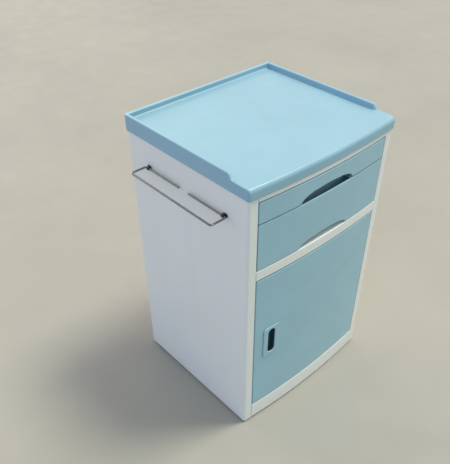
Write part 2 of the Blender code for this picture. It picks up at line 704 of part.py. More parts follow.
# ---------------------------------------------------------------- door
def door():
    skin = sheet(publish(front_shell(*DOOR_Z), "door_skin", "door", "front_blue"), FRONT_WALL)
    plate = prism(front_outline(*DOOR_Z, inset=FRONT_WALL + GAP),
                  FRONT_BACK_Y - STEEL, FRONT_BACK_Y, axis="Y")
    publish(plate, "door_back_panel", "door", "body_white")
    for end, z in (("top", DOOR_Z[1]), ("bottom", DOOR_Z[0])):
        hole = cylinder(BUSH_HOLE_R, z - 3 * FRONT_WALL, z + 3 * FRONT_WALL, PIVOT)
        boolean(skin, cutter(hole, f"bush_hole_{end}"))
    hinge_bushes()
    door_pull(skin)
    strike = block((CATCH_X[0], FRONT_BACK_Y + GAP, DOOR_Z[1] - CATCH_HEIGHT),
                   (CATCH_X[1], FRONT_BACK_Y + GAP + STRIKE_PLATE, DOOR_Z[1] - STRIKE_DROP))
    publish(strike, "strike_plate", "door", "zinc_steel")


def hinge_bushes():
    """Flanged plastic bushes in the door's top and bottom rims, running on the pins."""
    for end, z, up in (("top", DOOR_Z[1], 1), ("bottom", DOOR_Z[0], -1)):
        seat = z + up * GAP
        flange = z + up * BUSH_FLANGE
        tip = z - up * BUSH_LENGTH
        profile = [(BUSH_FLANGE_R, flange), (BUSH_FLANGE_R, seat), (BUSH_R, seat),
                   (BUSH_R, tip), (BUSH_BORE_R, tip), (BUSH_BORE_R, flange)]
        if up < 0:
            profile = profile[::-1]
        turned(f"hinge_bush_{end}", "door", "grey_plastic", profile, (PIVOT.x, PIVOT.y, 0))


def slot_outline(extra):
    """The pull's upright slot with round ends, or one that is larger by extra all round."""
    middle_x = sum(PULL_X) / 2
    middle_z = sum(PULL_Z) / 2
    half_x = SLOT_WIDTH / 2 + extra
    half_z = SLOT_HEIGHT / 2 + extra
    return rounded_rectangle(middle_x - half_x, middle_x + half_x, middle_z - half_z,
                             middle_z + half_z, half_x * ALMOST_ROUND, steps=6)


def door_pull(skin):
    """A bezel on the door's face with an upright slot, and a closed cup set in behind it."""
    face_y = CROWN_Y - GAP
    bezel = prism(rounded_rectangle(*PULL_X, *PULL_Z, PULL_CORNER_R), face_y - BEZEL, face_y,
                  axis="Y")
    cup = prism(slot_outline(CUP_WALL), CROWN_Y, CROWN_Y + CUP_DEPTH + CUP_WALL, axis="Y")
    cavity = prism(slot_outline(0), face_y - CUT, CROWN_Y + CUP_DEPTH, axis="Y")
    hole = prism(slot_outline(CUP_WALL + CUP_CLEARANCE), CROWN_Y - CUT, CROWN_Y + CUT, axis="Y")
    for bm in (bezel, cup, cavity, hole):
        follow_bow(bm)
    cavity = cutter(cavity, "pull_cavity")
    boolean(publish(bezel, "door_pull", "door", "front_blue"), cavity)
    boolean(publish(cup, "pull_cup", "door", "cup_plastic"), cavity)
    boolean(skin, cutter(hole, "pull_hole"))


# ---------------------------------------------------------------- towel rail
def towel_rail():
    """One bent wire: two ends along the panel, two arms and the bar."""
    bar_x = -SIDE_X - RAIL_REACH
    inner = (RAIL_AXIS_X - RAIL_BEND, RAIL_HALF - RAIL_BEND)
    outer = (bar_x + RAIL_BEND, RAIL_HALF - RAIL_BEND)
    half = [(RAIL_AXIS_X, RAIL_END)] + arc(inner, RAIL_BEND, 0, 90, 4)
    half += arc(outer, RAIL_BEND, 90, 180, 4)
    route = half + [(x, -y) for x, y in reversed(half)]
    centre = GROUPS["rail"].location
    curve = bpy.data.curves.new("towel_rail", "CURVE")
    curve.dimensions = "3D"
    curve.bevel_depth = RAIL_R
    curve.bevel_resolution = 2
    curve.use_fill_caps = True
    spline = curve.splines.new("POLY")
    spline.points.add(len(route) - 1)
    for point, (x, y) in zip(spline.points, route):
        point.co = (x - centre.x, y, 0, 1)
    curve.materials.append(material("rail_steel"))
    wire = bpy.data.objects.new("towel_rail", curve)
    PARTS.objects.link(wire)
    place(wire, "rail", centre)
    rail_clip("rail_clip_front", -1)
    rail_clip("rail_clip_rear", 1)


def rail_clip(name, side):
    """A foot plate on the panel with a bridge round the wire, next to the wire's bend."""
    face_x = -SIDE_X - GAP
    ys = sorted((side * CLIP_Y[0], side * CLIP_Y[1]))
    foot_plate = block((face_x - CLIP_FOOT, ys[0], RAIL_Z - CLIP_HALF_HEIGHT),
                       (face_x, ys[1], RAIL_Z + CLIP_HALF_HEIGHT))
    clip = publish(foot_plate, name, "cabinet", "black_plastic")
    ys = sorted((side * CLIP_Y[0], side * (CLIP_Y[0] + BRIDGE_LENGTH)))
    bridge = block((RAIL_AXIS_X - BRIDGE_HALF, ys[0], RAIL_Z - BRIDGE_HALF),
                   (face_x - CLIP_FOOT / 2, ys[1], RAIL_Z + BRIDGE_HALF))
    boolean(clip, cutter(bridge, f"{name}_bridge"), "UNION")
    bore = cylinder(RAIL_R + RAIL_CLEARANCE, -CUT, CUT, (0, 0), steps=16)
    lay_along_y(bore, (RAIL_AXIS_X, side * (CLIP_Y[0] + BRIDGE_LENGTH / 2), RAIL_Z))
    boolean(clip, cutter(bore, f"{name}_bore"))


# ---------------------------------------------------------------- assembly
top_tray()
body()
shelf()
base()
hinge_pins()
magnetic_catch()
carriers()
drawer(1, DRAWER_1_Z)
drawer(2, DRAWER_2_Z)
door()
towel_rail()
bpy.context.view_layer.update()
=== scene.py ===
"""Bedside cabinet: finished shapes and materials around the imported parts.

Metres, in the parts' own frame: +Z up, front towards -Y. Shapes are modelled about the cabinet's
centre line, x = 0, and publish() moves them to their place. A piece that stands for a part takes
its size from that part's box, its body and its material slot from the record.
"""

import json
import math

import bmesh
import bpy
from mathutils import Matrix, Vector


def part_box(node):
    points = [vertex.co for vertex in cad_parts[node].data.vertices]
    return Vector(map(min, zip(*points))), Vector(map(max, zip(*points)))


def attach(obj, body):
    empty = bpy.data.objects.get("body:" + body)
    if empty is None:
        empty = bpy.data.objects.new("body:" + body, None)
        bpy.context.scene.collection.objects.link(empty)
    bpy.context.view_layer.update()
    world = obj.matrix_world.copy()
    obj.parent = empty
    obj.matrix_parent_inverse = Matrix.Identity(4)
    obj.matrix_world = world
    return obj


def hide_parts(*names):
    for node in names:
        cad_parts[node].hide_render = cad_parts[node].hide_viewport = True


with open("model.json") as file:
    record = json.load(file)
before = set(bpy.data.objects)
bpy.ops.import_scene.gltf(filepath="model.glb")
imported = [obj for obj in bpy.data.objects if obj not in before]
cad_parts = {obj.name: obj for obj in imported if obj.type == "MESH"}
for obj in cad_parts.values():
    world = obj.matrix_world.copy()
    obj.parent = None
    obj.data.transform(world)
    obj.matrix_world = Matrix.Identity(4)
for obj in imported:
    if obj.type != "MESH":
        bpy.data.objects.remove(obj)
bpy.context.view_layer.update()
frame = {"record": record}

# ---- what the frame says
RECORD = frame["record"]
BODY_OF = {
    node: body for body, nodes in RECORD["behaviour"]["bodies"].items() for node in nodes
}
SLOT_OF = {row["node"]: row["material_slot"] for row in RECORD["subparts"]}
CENTRE_X = sum(corner.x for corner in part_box("top_tray")) / 2
SHIFT = Vector((CENTRE_X, 0, 0))


def corners(node):
    """A part's lowest and highest corner, about the cabinet's centre line."""
    low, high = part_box(node)
    return low - SHIFT, high - SHIFT


# ---- driving dimensions
# sheet steel
STEEL = 0.001
BEND_R = 0.0016  # outer radius of a fold
EDGE = 0.0003  # rounding of a cut edge
FINE_EDGE = 0.0002
HEM = (0.0045, 0.004)  # width and drop of the return along a drawer box's top
ANGLE_THICKNESS = 0.0015  # of the shelf's clips
ANGLE_BEND_R = 0.00224

# top tray
TRAY_LOW, TRAY_HIGH = corners("top_tray")
TOP_BOW = 0.0115  # how far the front edge bulges
LIP_HEIGHT = 0.013
LIP_WIDTH = 0.009
LIP_TOP_R = 0.0028
LIP_FOOT_R = 0.0035
LIP_END = 0.052  # from the front corners to where the side lips end
LIP_RAMP = 0.011
NOSE_R = 0.010  # of the rounded front edge
NOSE_ONSET = 1.4  # how soon round a front corner the edge takes on the nose's form
FLAT_EDGE_R = 0.0018
SKIRT_EDGE_R = 0.001
TRAY_WALL = 0.0025
TRAY_PLATE = 0.004
TRAY_SEAT = 0.022
TRAY_FRONT_CORNER_R = 0.006
TRAY_BACK_CORNER_R = 0.006
SMALLEST_R = 0.001  # of a corner of an outline that is moved inwards

# body and bowed fronts
CROWN_Y = corners("door_skin")[0].y
FRONT_BACK_Y = corners("door_skin")[1].y
SIDE_X = corners("right_side_panel")[1].x
BODY_BOW = 0.013
BODY_R = (SIDE_X**2 + BODY_BOW**2) / (2 * BODY_BOW)
STATION = 0.005  # step along the bowed front
STILE_STEPS = 5
SIDE_CORNER_R = 0.006
PAST_CORNER = 0.0004  # from the end of the round corner to the next point
BACK_FLANGE = 0.020
FRONT_WALL = 0.002
FRONT_EDGE_R = 0.0020
FRONT_CORNER_R = 0.0026
PLATE_CORNER_R = 0.001
BOX_CORNER_R = 0.0015
ARCHES = {"drawer_1_front": (0.170, 0.0225), "drawer_2_front": (0.164, 0.0175)}
ARCH_STEPS = 32
ARCH_END_R = 0.0020
WELL_LIP = 0.003  # what stays of the rim in front of the finger well
WELL_SIDE = 0.003  # from the ends of the arch to the ends of the well
WELL_CORNER_R = 0.003

# feet
PAD_HEIGHT = 0.005
PAD_SHOULDER = 0.0025
PAD_TOP_R = 0.0015
PAD_FOOT_R = 0.0012
STUD_R = 0.004
STUD_CHAMFER = 0.0006

# slides and screws
SLIDE_LIP = 0.0012
SLIDE_LIP_R = 0.0010
SLIDE_WEB_R = 0.0020
HEAD_HEIGHT = 0.0022
HEAD_EDGE = 0.0002
SHANK_R = 0.0020
SCREW_TIP = 0.0012
THREAD_PITCH = 0.0008
THREAD_DEPTH = 0.0003
RECESS_ARM = (0.0019, 0.00035, 0.0002)  # half length, half width and corner radius
RECESS_DEPTH = 0.0011

# door pull
SLOT_WIDTH = 0.022
SLOT_HEIGHT = 0.080
SLOT_EDGE_R = 0.0020
SLOT_STEPS = 12
ALMOST_ROUND = 0.999  # keeps a straight stretch between a slot's round ends
CUP_WALL = 0.0015
CUP_FLOOR_R = 0.005
CUP_CLEARANCE = 0.0005
BEZEL = 0.0025
BEZEL_CORNER_R = 0.008
BEZEL_EDGE_R = 0.0014
TOUCH = 0.0003  # between pieces that touch

# hinge and catch
PIN_R = 0.003
PIN_CHAMFER = 0.0006
WASHER = 0.0013
BORE_R = 0.0031
BUSH_R = 0.0045
BUSH_CHAMFER = 0.0004
FLANGE = 0.0008
TURNED_EDGE = 0.0003
CATCH_EDGE = 0.0006
CATCH_CORNER_R = 0.002

# towel rail
RAIL_BEND = 0.0055
RAIL_END = 0.015  # from the middle to each end of the wire
ALMOST_FULL = 0.998  # keeps the round wire inside its part's box
CLIP_FOOT = 0.002
CLIP_CORNER_R = 0.0025
CLIP_CLEARANCE = 0.0002
CLIP_EDGE = 0.0004
SADDLE = 0.0072

CUT = 0.01  # how far a cutter runs past what it cuts
ROUND = (0, 345, 23)  # a whole circle as an arc: start, end and steps
NEARLY_STRAIGHT = math.radians(176)  # a corner this open isn't rounded
FACE_WEIGHT = 60


def bow(x):
    """How far the front stands back from its crown at x."""
    return BODY_R - math.sqrt(BODY_R**2 - x**2)


# ---- materials
def step(tree, kind, operation, inputs):
    """Adds one step of arithmetic on values or sockets, and gives its outputs."""
    made = tree.nodes.new(f"ShaderNode{kind}")
    made.operation = operation
    for name, value in inputs.items():
        if isinstance(value, bpy.types.NodeSocket):
            tree.links.new(value, made.inputs[name])
        else:
            made.inputs[name].default_value = value
    return made.outputs


class Nodes:
    """Short names for building one material's node tree."""

    def __init__(self, slot):
        self.material = bpy.data.materials.new(slot)
        self.material.use_nodes = True
        self.tree = self.material.node_tree
        self.shader = self.tree.nodes["Principled BSDF"]
        coordinates = self.tree.nodes.new("ShaderNodeTexCoord")
        self.place = coordinates.outputs["Object"]

    def set(self, **values):
        """Sets sockets of the shader, such as Base_Color."""
        for name, value in values.items():
            self.shader.inputs[name.replace("_", " ")].default_value = value

    def link(self, source, target):
        self.tree.links.new(source, target)

    def stretched(self, scale, turn=(0, 0, 0)):
        """The place on the piece, scaled along each axis, for grain that runs one way."""
        mapping = self.tree.nodes.new("ShaderNodeMapping")
        mapping.inputs["Scale"].default_value = scale
        mapping.inputs["Rotation"].default_value = turn
        self.link(self.place, mapping.inputs["Vector"])
        return mapping.outputs["Vector"]

    def noise(self, scale, detail=3.0, roughness=0.55, vector=None):
        """Noise from 0 to 1; scale is in cells per metre."""
        made = self.tree.nodes.new("ShaderNodeTexNoise")
        made.inputs["Scale"].default_value = scale
        made.inputs["Detail"].default_value = detail
        made.inputs["Roughness"].default_value = roughness
        self.link(vector or self.place, made.inputs["Vector"])
        return made.outputs["Fac"]

    def cells(self, scale, vector=None):
        """Distance to the nearest of scattered points."""
        made = self.tree.nodes.new("ShaderNodeTexVoronoi")
        made.inputs["Scale"].default_value = scale
        self.link(vector or self.place, made.inputs["Vector"])
        return made.outputs["Distance"]

    def remap(self, source, low, high, to_low=0.0, to_high=1.0):
        """source from low to high becomes to_low to to_high, and no further."""
        made = self.tree.nodes.new("ShaderNodeMapRange")
        for name, value in zip(("From Min", "From Max", "To Min", "To Max"),
                               (low, high, to_low, to_high)):
            made.inputs[name].default_value = value
        self.link(source, made.inputs["Value"])
        return made.outputs["Result"]

    def math(self, operation, first, second):
        return step(self.tree, "Math", operation, {0: first, 1: second})["Value"]

    def axis(self, name):
        made = self.tree.nodes.new("ShaderNodeSeparateXYZ")
        self.link(self.place, made.inputs["Vector"])
        return made.outputs[name]

    def mix(self, amount, first, second):
        """Two colours, each a tuple or a socket, mixed by amount."""
        made = self.tree.nodes.new("ShaderNodeMix")
        made.data_type = "RGBA"
        self.link(amount, made.inputs["Factor"])
        for value, socket in ((first, made.inputs["A"]), (second, made.inputs["B"])):
            socket = [s for s in made.inputs if s.name == socket.name and s.type == "RGBA"][0]
            if isinstance(value, tuple):
                socket.default_value = (*value, 1.0)
            else:
                self.link(value, socket)
        return [s for s in made.outputs if s.type == "RGBA"][0]

    def colour(self, socket):
        self.link(socket, self.shader.inputs["Base Color"])

    def roughness(self, socket):
        self.link(socket, self.shader.inputs["Roughness"])

    def bump(self, *layers):
        """Heights, each (socket, depth in metres), added up into the shader's normal."""
        normal = None
        for height, depth in layers:
            made = self.tree.nodes.new("ShaderNodeBump")
            made.inputs["Distance"].default_value = depth
            self.link(height, made.inputs["Height"])
            if normal:
                self.link(normal, made.inputs["Normal"])
            normal = made.outputs["Normal"]
        self.link(normal, self.shader.inputs["Normal"])


def shaded(colour, factor):
    return tuple(min(c * factor, 1.0) for c in colour)


def moulded_plastic(slot, colour, gloss, grain_scale, grain_depth, scuffs):
    """Coloured plastic: cloudy pigment, fine mould grain, wiping marks and thin scratches."""
    n = Nodes(slot)
    cloud = n.remap(n.noise(9, detail=4), 0.3, 0.7)
    tone = n.mix(cloud, shaded(colour, 0.965), shaded(colour, 1.03))
    smear = n.noise(1.0, detail=5, vector=n.stretched((7, 34, 20), (0, 0, 0.6)))
    tone = n.mix(n.remap(smear, 0.52, 0.78, 0.0, 0.5), tone, shaded(colour, 1.07))
    scratch = n.noise(1.0, detail=2, vector=n.stretched((18, 900, 300), (0.2, 0.1, 0.9)))
    cross = n.noise(1.0, detail=2, vector=n.stretched((700, 14, 300), (0.1, 0.3, 0.35)))
    lines = n.math("MAXIMUM", n.remap(scratch, 0.70, 0.76), n.remap(cross, 0.72, 0.78))
    tone = n.mix(n.math("MULTIPLY", lines, scuffs), tone, shaded(colour, 1.22))
    n.colour(tone)
    rough = n.remap(n.noise(26, detail=5), 0.3, 0.7, gloss - 0.05, gloss + 0.07)
    n.roughness(n.math("ADD", rough, n.math("MULTIPLY", lines, 0.22 * scuffs)))
    grain = n.cells(grain_scale)
    n.bump((n.noise(70, detail=2), 0.00005), (grain, grain_depth), (lines, -0.000015))
    n.set(IOR=1.49)
    return n.material


def powder_coat(slot, colour, gloss):
    """Baked white powder on steel: orange peel, faint yellowing, dust settled low down."""
    n = Nodes(slot)
    warm = tuple(c * k for c, k in zip(colour, (1.0, 0.985, 0.955)))
    cloud = n.remap(n.noise(5, detail=5), 0.3, 0.7)
    tone = n.mix(cloud, colour, warm)
    streak = n.noise(1.0, detail=4, vector=n.stretched((26, 26, 3.0)))
    tone = n.mix(n.remap(streak, 0.55, 0.8, 0.0, 0.35), tone, shaded(colour, 0.93))
    low_down = n.remap(n.axis("Z"), 0.0, 0.05, 0.16, 0.0)
    dust = n.math("MULTIPLY", low_down, n.remap(n.noise(60, detail=6), 0.35, 0.65))
    tone = n.mix(dust, tone, (0.36, 0.33, 0.28))
    speck = n.remap(n.cells(170), 0.0, 0.045, 1.0, 0.0)
    rare = n.math("MULTIPLY", speck, n.remap(n.noise(23, detail=2), 0.60, 0.66))
    tone = n.mix(n.math("MULTIPLY", rare, 0.35), tone, (0.30, 0.29, 0.27))
    n.colour(tone)
    rough = n.remap(n.noise(18, detail=5), 0.3, 0.7, gloss - 0.04, gloss + 0.08)
    n.roughness(n.math("ADD", rough, n.math("MULTIPLY", dust, 0.4)))
    n.bump((n.noise(420, detail=3, roughness=0.6), 0.00006), (n.noise(1500, detail=1), 0.000012))
    n.set(IOR=1.5)
    return n.material


def plated_steel(slot, colour, gloss, along, cloud_depth):
    """Bare plated steel: drawing lines along one axis, mottled plating and dull patches."""
    n = Nodes(slot)
    scale = tuple(14 if axis == along else 620 for axis in "XYZ")
    lines = n.noise(1.0, detail=3, vector=n.stretched(scale))
    cloud = n.remap(n.noise(45, detail=5, roughness=0.65), 0.3, 0.7)
    tone = n.mix(cloud, shaded(colour, 1 - cloud_depth), shaded(colour, 1 + cloud_depth))
    tone = n.mix(n.remap(n.noise(14, detail=4), 0.55, 0.75, 0.0, 0.4), tone,
                 tuple(c * k for c, k in zip(colour, (0.97, 0.93, 0.82))))
    n.colour(tone)
    rough = n.remap(lines, 0.3, 0.7, gloss - 0.07, gloss + 0.09)
    n.roughness(n.math("ADD", rough, n.remap(cloud, 0.0, 1.0, -0.03, 0.05)))
    n.bump((lines, 0.000012), (n.noise(160, detail=2), 0.00002))
    n.set(Metallic=1.0)
    return n.material


def dark_moulding(slot, colour, gloss, grain_scale, grain_depth):
    """Small black or grey mouldings and rubber: spark-eroded grain and a little dust."""
    n = Nodes(slot)
    cloud = n.remap(n.noise(90, detail=4), 0.3, 0.7)
    tone = n.mix(cloud, shaded(colour, 0.85), shaded(colour, 1.2))
    dust = n.remap(n.noise(260, detail=5), 0.58, 0.75, 0.0, 0.18)
    tone = n.mix(dust, tone, (0.30, 0.29, 0.27))
    n.colour(tone)
    n.roughness(n.remap(n.noise(120, detail=4), 0.3, 0.7, gloss - 0.06, gloss + 0.08))
    n.bump((n.cells(grain_scale), grain_depth), (n.noise(300, detail=2), 0.00003))
    n.set(IOR=1.48)
    return n.material


MATERIALS = {
    "top_plastic": moulded_plastic("top_plastic", (0.265, 0.447, 0.565), 0.34, 900, 0.00001, 0.6),
    "front_blue": moulded_plastic("front_blue", (0.31, 0.50, 0.60), 0.40, 1100, 0.000014, 0.35),
    "body_white": powder_coat("body_white", (0.78, 0.79, 0.79), 0.36),
    "zinc_steel": plated_steel("zinc_steel", (0.60, 0.61, 0.62), 0.34, "Y", 0.10),
    "rail_steel": plated_steel("rail_steel", (0.27, 0.27, 0.28), 0.22, "Y", 0.06),
    # cup_plastic: near-black teal, painted shade that stands for the darkness deep in the door
    # pull's slot
    "cup_plastic": dark_moulding("cup_plastic", (0.008, 0.040, 0.055), 0.55, 1600, 0.00002),
    "black_plastic": dark_moulding("black_plastic", (0.020, 0.020, 0.021), 0.45, 1800, 0.00002),
    "grey_plastic": dark_moulding("grey_plastic", (0.42, 0.43, 0.43), 0.48, 1500, 0.00002),
    "foot_rubber": dark_moulding("foot_rubber", (0.030, 0.029, 0.028), 0.75, 700, 0.00006),
}


# ---- making pieces
def publish(bm, node):
    """Makes the piece that stands for a part, of a bmesh in cabinet coordinates."""
    bmesh.ops.translate(bm, verts=bm.verts, vec=SHIFT)
    mesh = bpy.data.meshes.new(f"finished_{node}")
    bm.to_mesh(mesh)
    bm.free()
    mesh.shade_smooth()
    slot = SLOT_OF[node]
    mesh.materials.append(MATERIALS[slot])
    piece = bpy.data.objects.new(mesh.name, mesh)
    bpy.context.scene.collection.objects.link(piece)
    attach(piece, BODY_OF[node])
    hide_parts(node)
    return piece


def modifier(piece, kind, **values):
    made = piece.modifiers.new(kind.lower(), kind)
    for name, value in values.items():
        setattr(made, name, value)
    return made


def steady_normals(piece):
    """Shades rounded edges smoothly and keeps flat faces flat."""
    modifier(piece, "WEIGHTED_NORMAL", keep_sharp=True, weight=FACE_WEIGHT)
    return piece


def thicken(piece, thickness=STEEL, edge=EDGE):
    """Gives a surface that faces outwards its thickness inwards, and softens its cut edges."""
    modifier(piece, "SOLIDIFY", thickness=thickness, offset=-1, use_even_offset=True)
    soften(piece, edge)
    return piece


def soften(piece, edge=EDGE, segments=2, angle=50):
    """Rounds a piece's sharp edges."""
    modifier(piece, "BEVEL", width=edge, segments=segments, limit_method="ANGLE",
             angle_limit=math.radians(angle))
    return steady_normals(piece)


def carve(bm, other, operation="DIFFERENCE"):
    """The first shape cut by, or joined with, the second. Both are used up."""
    made = []
    for name, source in (("shape", bm), ("tool", other)):
        mesh = bpy.data.meshes.new(name)
        source.to_mesh(mesh)
        source.free()
        thing = bpy.data.objects.new(name, mesh)
        bpy.context.scene.collection.objects.link(thing)
        made.append(thing)
    shape, tool = made
    modifier(shape, "BOOLEAN", operation=operation, object=tool)
    evaluated = shape.evaluated_get(bpy.context.evaluated_depsgraph_get())
    result = bmesh.new()
    result.from_mesh(evaluated.to_mesh())
    for thing in made:
        mesh = thing.data
        bpy.data.objects.remove(thing)
        bpy.data.meshes.remove(mesh)
    return result


# ---- shapes
def arc(centre, radius, start, end, steps):
    """Points on an arc, from the start angle to the end angle in degrees, ends included."""
    angles = [math.radians(start + (end - start) * i / steps) for i in range(steps + 1)]
    return [(centre[0] + radius * math.cos(a), centre[1] + radius * math.sin(a)) for a in angles]


def filleted(points, radii, steps=5):
    """A path or outline in a plane with its corners rounded, each to its own radius or not."""
    points = [Vector(p) for p in points]
    made = []
    for i, (here, radius) in enumerate(zip(points, radii)):
        if radius <= 0:
            made.append(here)
            continue
        back = (points[i - 1] - here).normalized()
        on = (points[(i + 1) % len(points)] - here).normalized()
        half = back.angle(on) / 2
        if half > NEARLY_STRAIGHT / 2:
            made.append(here)
            continue
        centre = here + (back + on).normalized() * (radius / math.sin(half))
        first = here + back * (radius / math.tan(half)) - centre
        last = here + on * (radius / math.tan(half)) - centre
        turn = first.angle_signed(last)
        for k in range(steps + 1):
            angle = -turn * k / steps
            made.append(centre + Matrix.Rotation(angle, 2) @ first)
    return [(p.x, p.y) for p in made]


def rounded_rectangle(half_x, half_z, radius, steps=6, middle=(0, 0)):
    points = []
    for x, z, turn in ((1, 1, 0), (-1, 1, 90), (-1, -1, 180), (1, -1, 270)):
        centre = (middle[0] + x * (half_x - radius), middle[1] + z * (half_z - radius))
        points += arc(centre, radius, turn, turn + 90, steps)
    return points


def prism(outline, low, high, axis="Y"):
    """A closed solid from a flat outline in the other two axes, between low and high."""
    def at(a, b, depth):
        return {"X": (depth, a, b), "Y": (a, depth, b), "Z": (a, b, depth)}[axis]

    bm = bmesh.new()
    rings = [[bm.verts.new(at(a, b, depth)) for a, b in outline] for depth in (low, high)]
    bm.faces.new(rings[0])
    bm.faces.new(rings[1][::-1])
    count = len(outline)
    for i in range(count):
        j = (i + 1) % count
        bm.faces.new((rings[0][i], rings[0][j], rings[1][j], rings[1][i]))
    bmesh.ops.recalc_face_normals(bm, faces=bm.faces)
    return bm


def loft(rings, ring_shaped=False):
    """A closed solid through rings of points, all with the same number.

    It has flat ends, or its last ring joins the first."""
    bm = bmesh.new()
    made = [[bm.verts.new(p) for p in ring] for ring in rings]
    count = len(made[0])
    for one, two in zip(made, made[1:] + (made[:1] if ring_shaped else [])):
        for i in range(count):
            j = (i + 1) % count
            bm.faces.new((one[i], one[j], two[j], two[i]))
    if not ring_shaped:
        bm.faces.new(made[0][::-1])
        bm.faces.new(made[-1])
    bmesh.ops.recalc_face_normals(bm, faces=bm.faces)
    return bm


def lathe(profile, at, steps=48, axis="Z"):
    """A turned solid. The profile (radius, height) starts and ends on the axis or is a loop."""
    bm = bmesh.new()
    loop = profile[0][0] > 0
    made = {}

    def vertex(k, i):
        r, z = profile[i]
        key = (0 if r == 0 else k % steps, i)
        if key not in made:
            turn = 2 * math.pi * key[0] / steps
            made[key] = bm.verts.new((r * math.cos(turn), r * math.sin(turn), z))
        return made[key]

    count = len(profile)
    pairs = [(i, (i + 1) % count) for i in range(count if loop else count - 1)]
    for k in range(steps):
        for i, j in pairs:
            ring = [vertex(k, i), vertex(k + 1, i), vertex(k + 1, j), vertex(k, j)]
            bm.faces.new(list(dict.fromkeys(ring)))
    bmesh.ops.recalc_face_normals(bm, faces=bm.faces)
    turns = {"Z": Matrix.Identity(3), "Y": Matrix.Rotation(-math.pi / 2, 3, "X"),
             "X": Matrix.Rotation(math.pi / 2, 3, "Y")}
    bmesh.ops.rotate(bm, verts=bm.verts, matrix=turns[axis], cent=(0, 0, 0))
    bmesh.ops.translate(bm, verts=bm.verts, vec=at)
    return bm


def tube(route, radius, sides=20):
    """A round wire along a route of points, with domed ends."""
    points = [Vector(p) for p in route]
    ends = []
    for tip, inner in ((points[0], points[1]), (points[-1], points[-2])):
        out = (tip - inner).normalized()
        dome = [(tip - out * radius * (1 - math.sin(a)), radius * math.cos(a))
                for a in (math.radians(d) for d in (80, 60, 40, 20, 0))]
        ends.append(dome)
    stations = ends[0] + [(p, radius) for p in points[1:-1]] + ends[1][::-1]
    normal = Vector((0, 0, 1))
    rings = []
    for i, (place, size) in enumerate(stations):
        before = stations[max(i - 1, 0)][0]
        after = stations[min(i + 1, len(stations) - 1)][0]
        along = (after - before).normalized()
        side = along.cross(normal).normalized()
        up = side.cross(along)
        rings.append([place + side * (size * math.cos(t)) + up * (size * math.sin(t))
                      for t in (2 * math.pi * k / sides for k in range(sides))])
    return loft(rings)


def strip(path, low, high, axis="Z"):
    """A surface along a path in plan, or in XZ if the axis is Y, from low to high on the axis."""
    bm = bmesh.new()
    rows = [[bm.verts.new((a, b, depth) if axis == "Z" else (a, depth, b)) for a, b in path]
            for depth in (low, high)]
    for i in range(len(path) - 1):
        bm.faces.new((rows[0][i], rows[0][i + 1], rows[1][i + 1], rows[1][i]))
    return bm


def facing(bm, towards):
    """Turns all of a surface's faces over if the largest one doesn't face that way."""
    bmesh.ops.recalc_face_normals(bm, faces=bm.faces)
    bm.normal_update()
    largest = max(bm.faces, key=lambda f: f.calc_area())
    if largest.normal.dot(Vector(towards)) < 0:
        bmesh.ops.reverse_faces(bm, faces=bm.faces)
    return bm


def folded_pan(low, high, without, hem=None):
    """A box of sheet with rounded folds, open on the sides in without, such as "+Z".

    hem is (width, drop) of a return folded in along an open top."""
    bm = bmesh.new()
    bmesh.ops.create_cube(bm, size=1)
    for v in bm.verts:
        v.co = Vector(low[i] if v.co[i] < 0 else high[i] for i in range(3))
    bm.normal_update()
    normals = [Vector([(-1 if side[0] == "-" else 1) * (axis == side[1]) for axis in "XYZ"])
               for side in without]
    gone = [f for f in bm.faces if any(f.normal.dot(n) > 0.9 for n in normals)]
    bmesh.ops.delete(bm, geom=gone, context="FACES")
    if hem:
        middle = (Vector(low) + Vector(high)) / 2
        for inwards, drop in ((hem[0], 0), (0, hem[1])):
            edge = [e for e in bm.edges if e.is_boundary and e.verts[0].co.z > middle.z
                    and e.verts[1].co.z > middle.z
                    and not all(abs(v.co.y - low[1]) < STEEL / 2 for v in e.verts)]
            made = bmesh.ops.extrude_edge_only(bm, edges=edge)["geom"]
            for v in made:
                if isinstance(v, bmesh.types.BMVert):
                    v.co.x += math.copysign(inwards, middle.x - v.co.x)
                    if v.co.y > middle.y:
                        v.co.y -= inwards
                    v.co.z -= drop
    folds = [e for e in bm.edges if len(e.link_faces) == 2]
    bmesh.ops.bevel(bm, geom=folds, offset=BEND_R, segments=4, profile=0.5, affect="EDGES")
    return bm


def slice_across(bm, half_width):
    """Cuts a flat front piece upright at each station, so that it can follow the bow."""
    steps = math.ceil(half_width / STATION)
    for i in range(-steps, steps + 1):
        everything = bm.verts[:] + bm.edges[:] + bm.faces[:]
        bmesh.ops.bisect_plane(bm, geom=everything, dist=1e-6, plane_co=(i * STATION, 0, 0),
                               plane_no=(1, 0, 0))


def follow_bow(bm, behind=math.inf):
    """Sets every point in front of the plane y = behind back by the bow at its own x."""
    for v in bm.verts:
        if v.co.y < behind:
            v.co.y += bow(v.co.x)
    return bm


def arch_points(arch, low_z, inset):
    """The finger gap in a drawer front's lower edge, half an ellipse, from left to right."""
    chord, height = arch
    made = []
    for i in range(ARCH_STEPS + 1):
        angle = math.pi * (1 - i / ARCH_STEPS)
        point = Vector((chord / 2 * math.cos(angle), height * math.sin(angle)))
        outwards = Vector((height * math.cos(angle), chord / 2 * math.sin(angle)))
        point += outwards.normalized() * inset
        if point.y >= inset or i in (0, ARCH_STEPS):
            made.append((point.x, low_z + max(point.y, inset)))
    return made


def front_outline(low, high, inset=0.0, arch=None, corner=FRONT_CORNER_R):
    """A drawer front's or the door's outline in XZ with round corners, or one inset from it."""
    x0, x1 = low.x + inset, high.x - inset
    z0, z1 = low.z + inset, high.z - inset
    edge = arch_points(arch, low.z, inset) if arch else []
    outline = [(x1, z0), (x1, z1), (x0, z1), (x0, z0), *edge]
    radii = [corner] * 4 + [0] * len(edge)
    if arch:
        radii[4] = radii[-1] = ARCH_END_R
    return filleted(outline, radii)


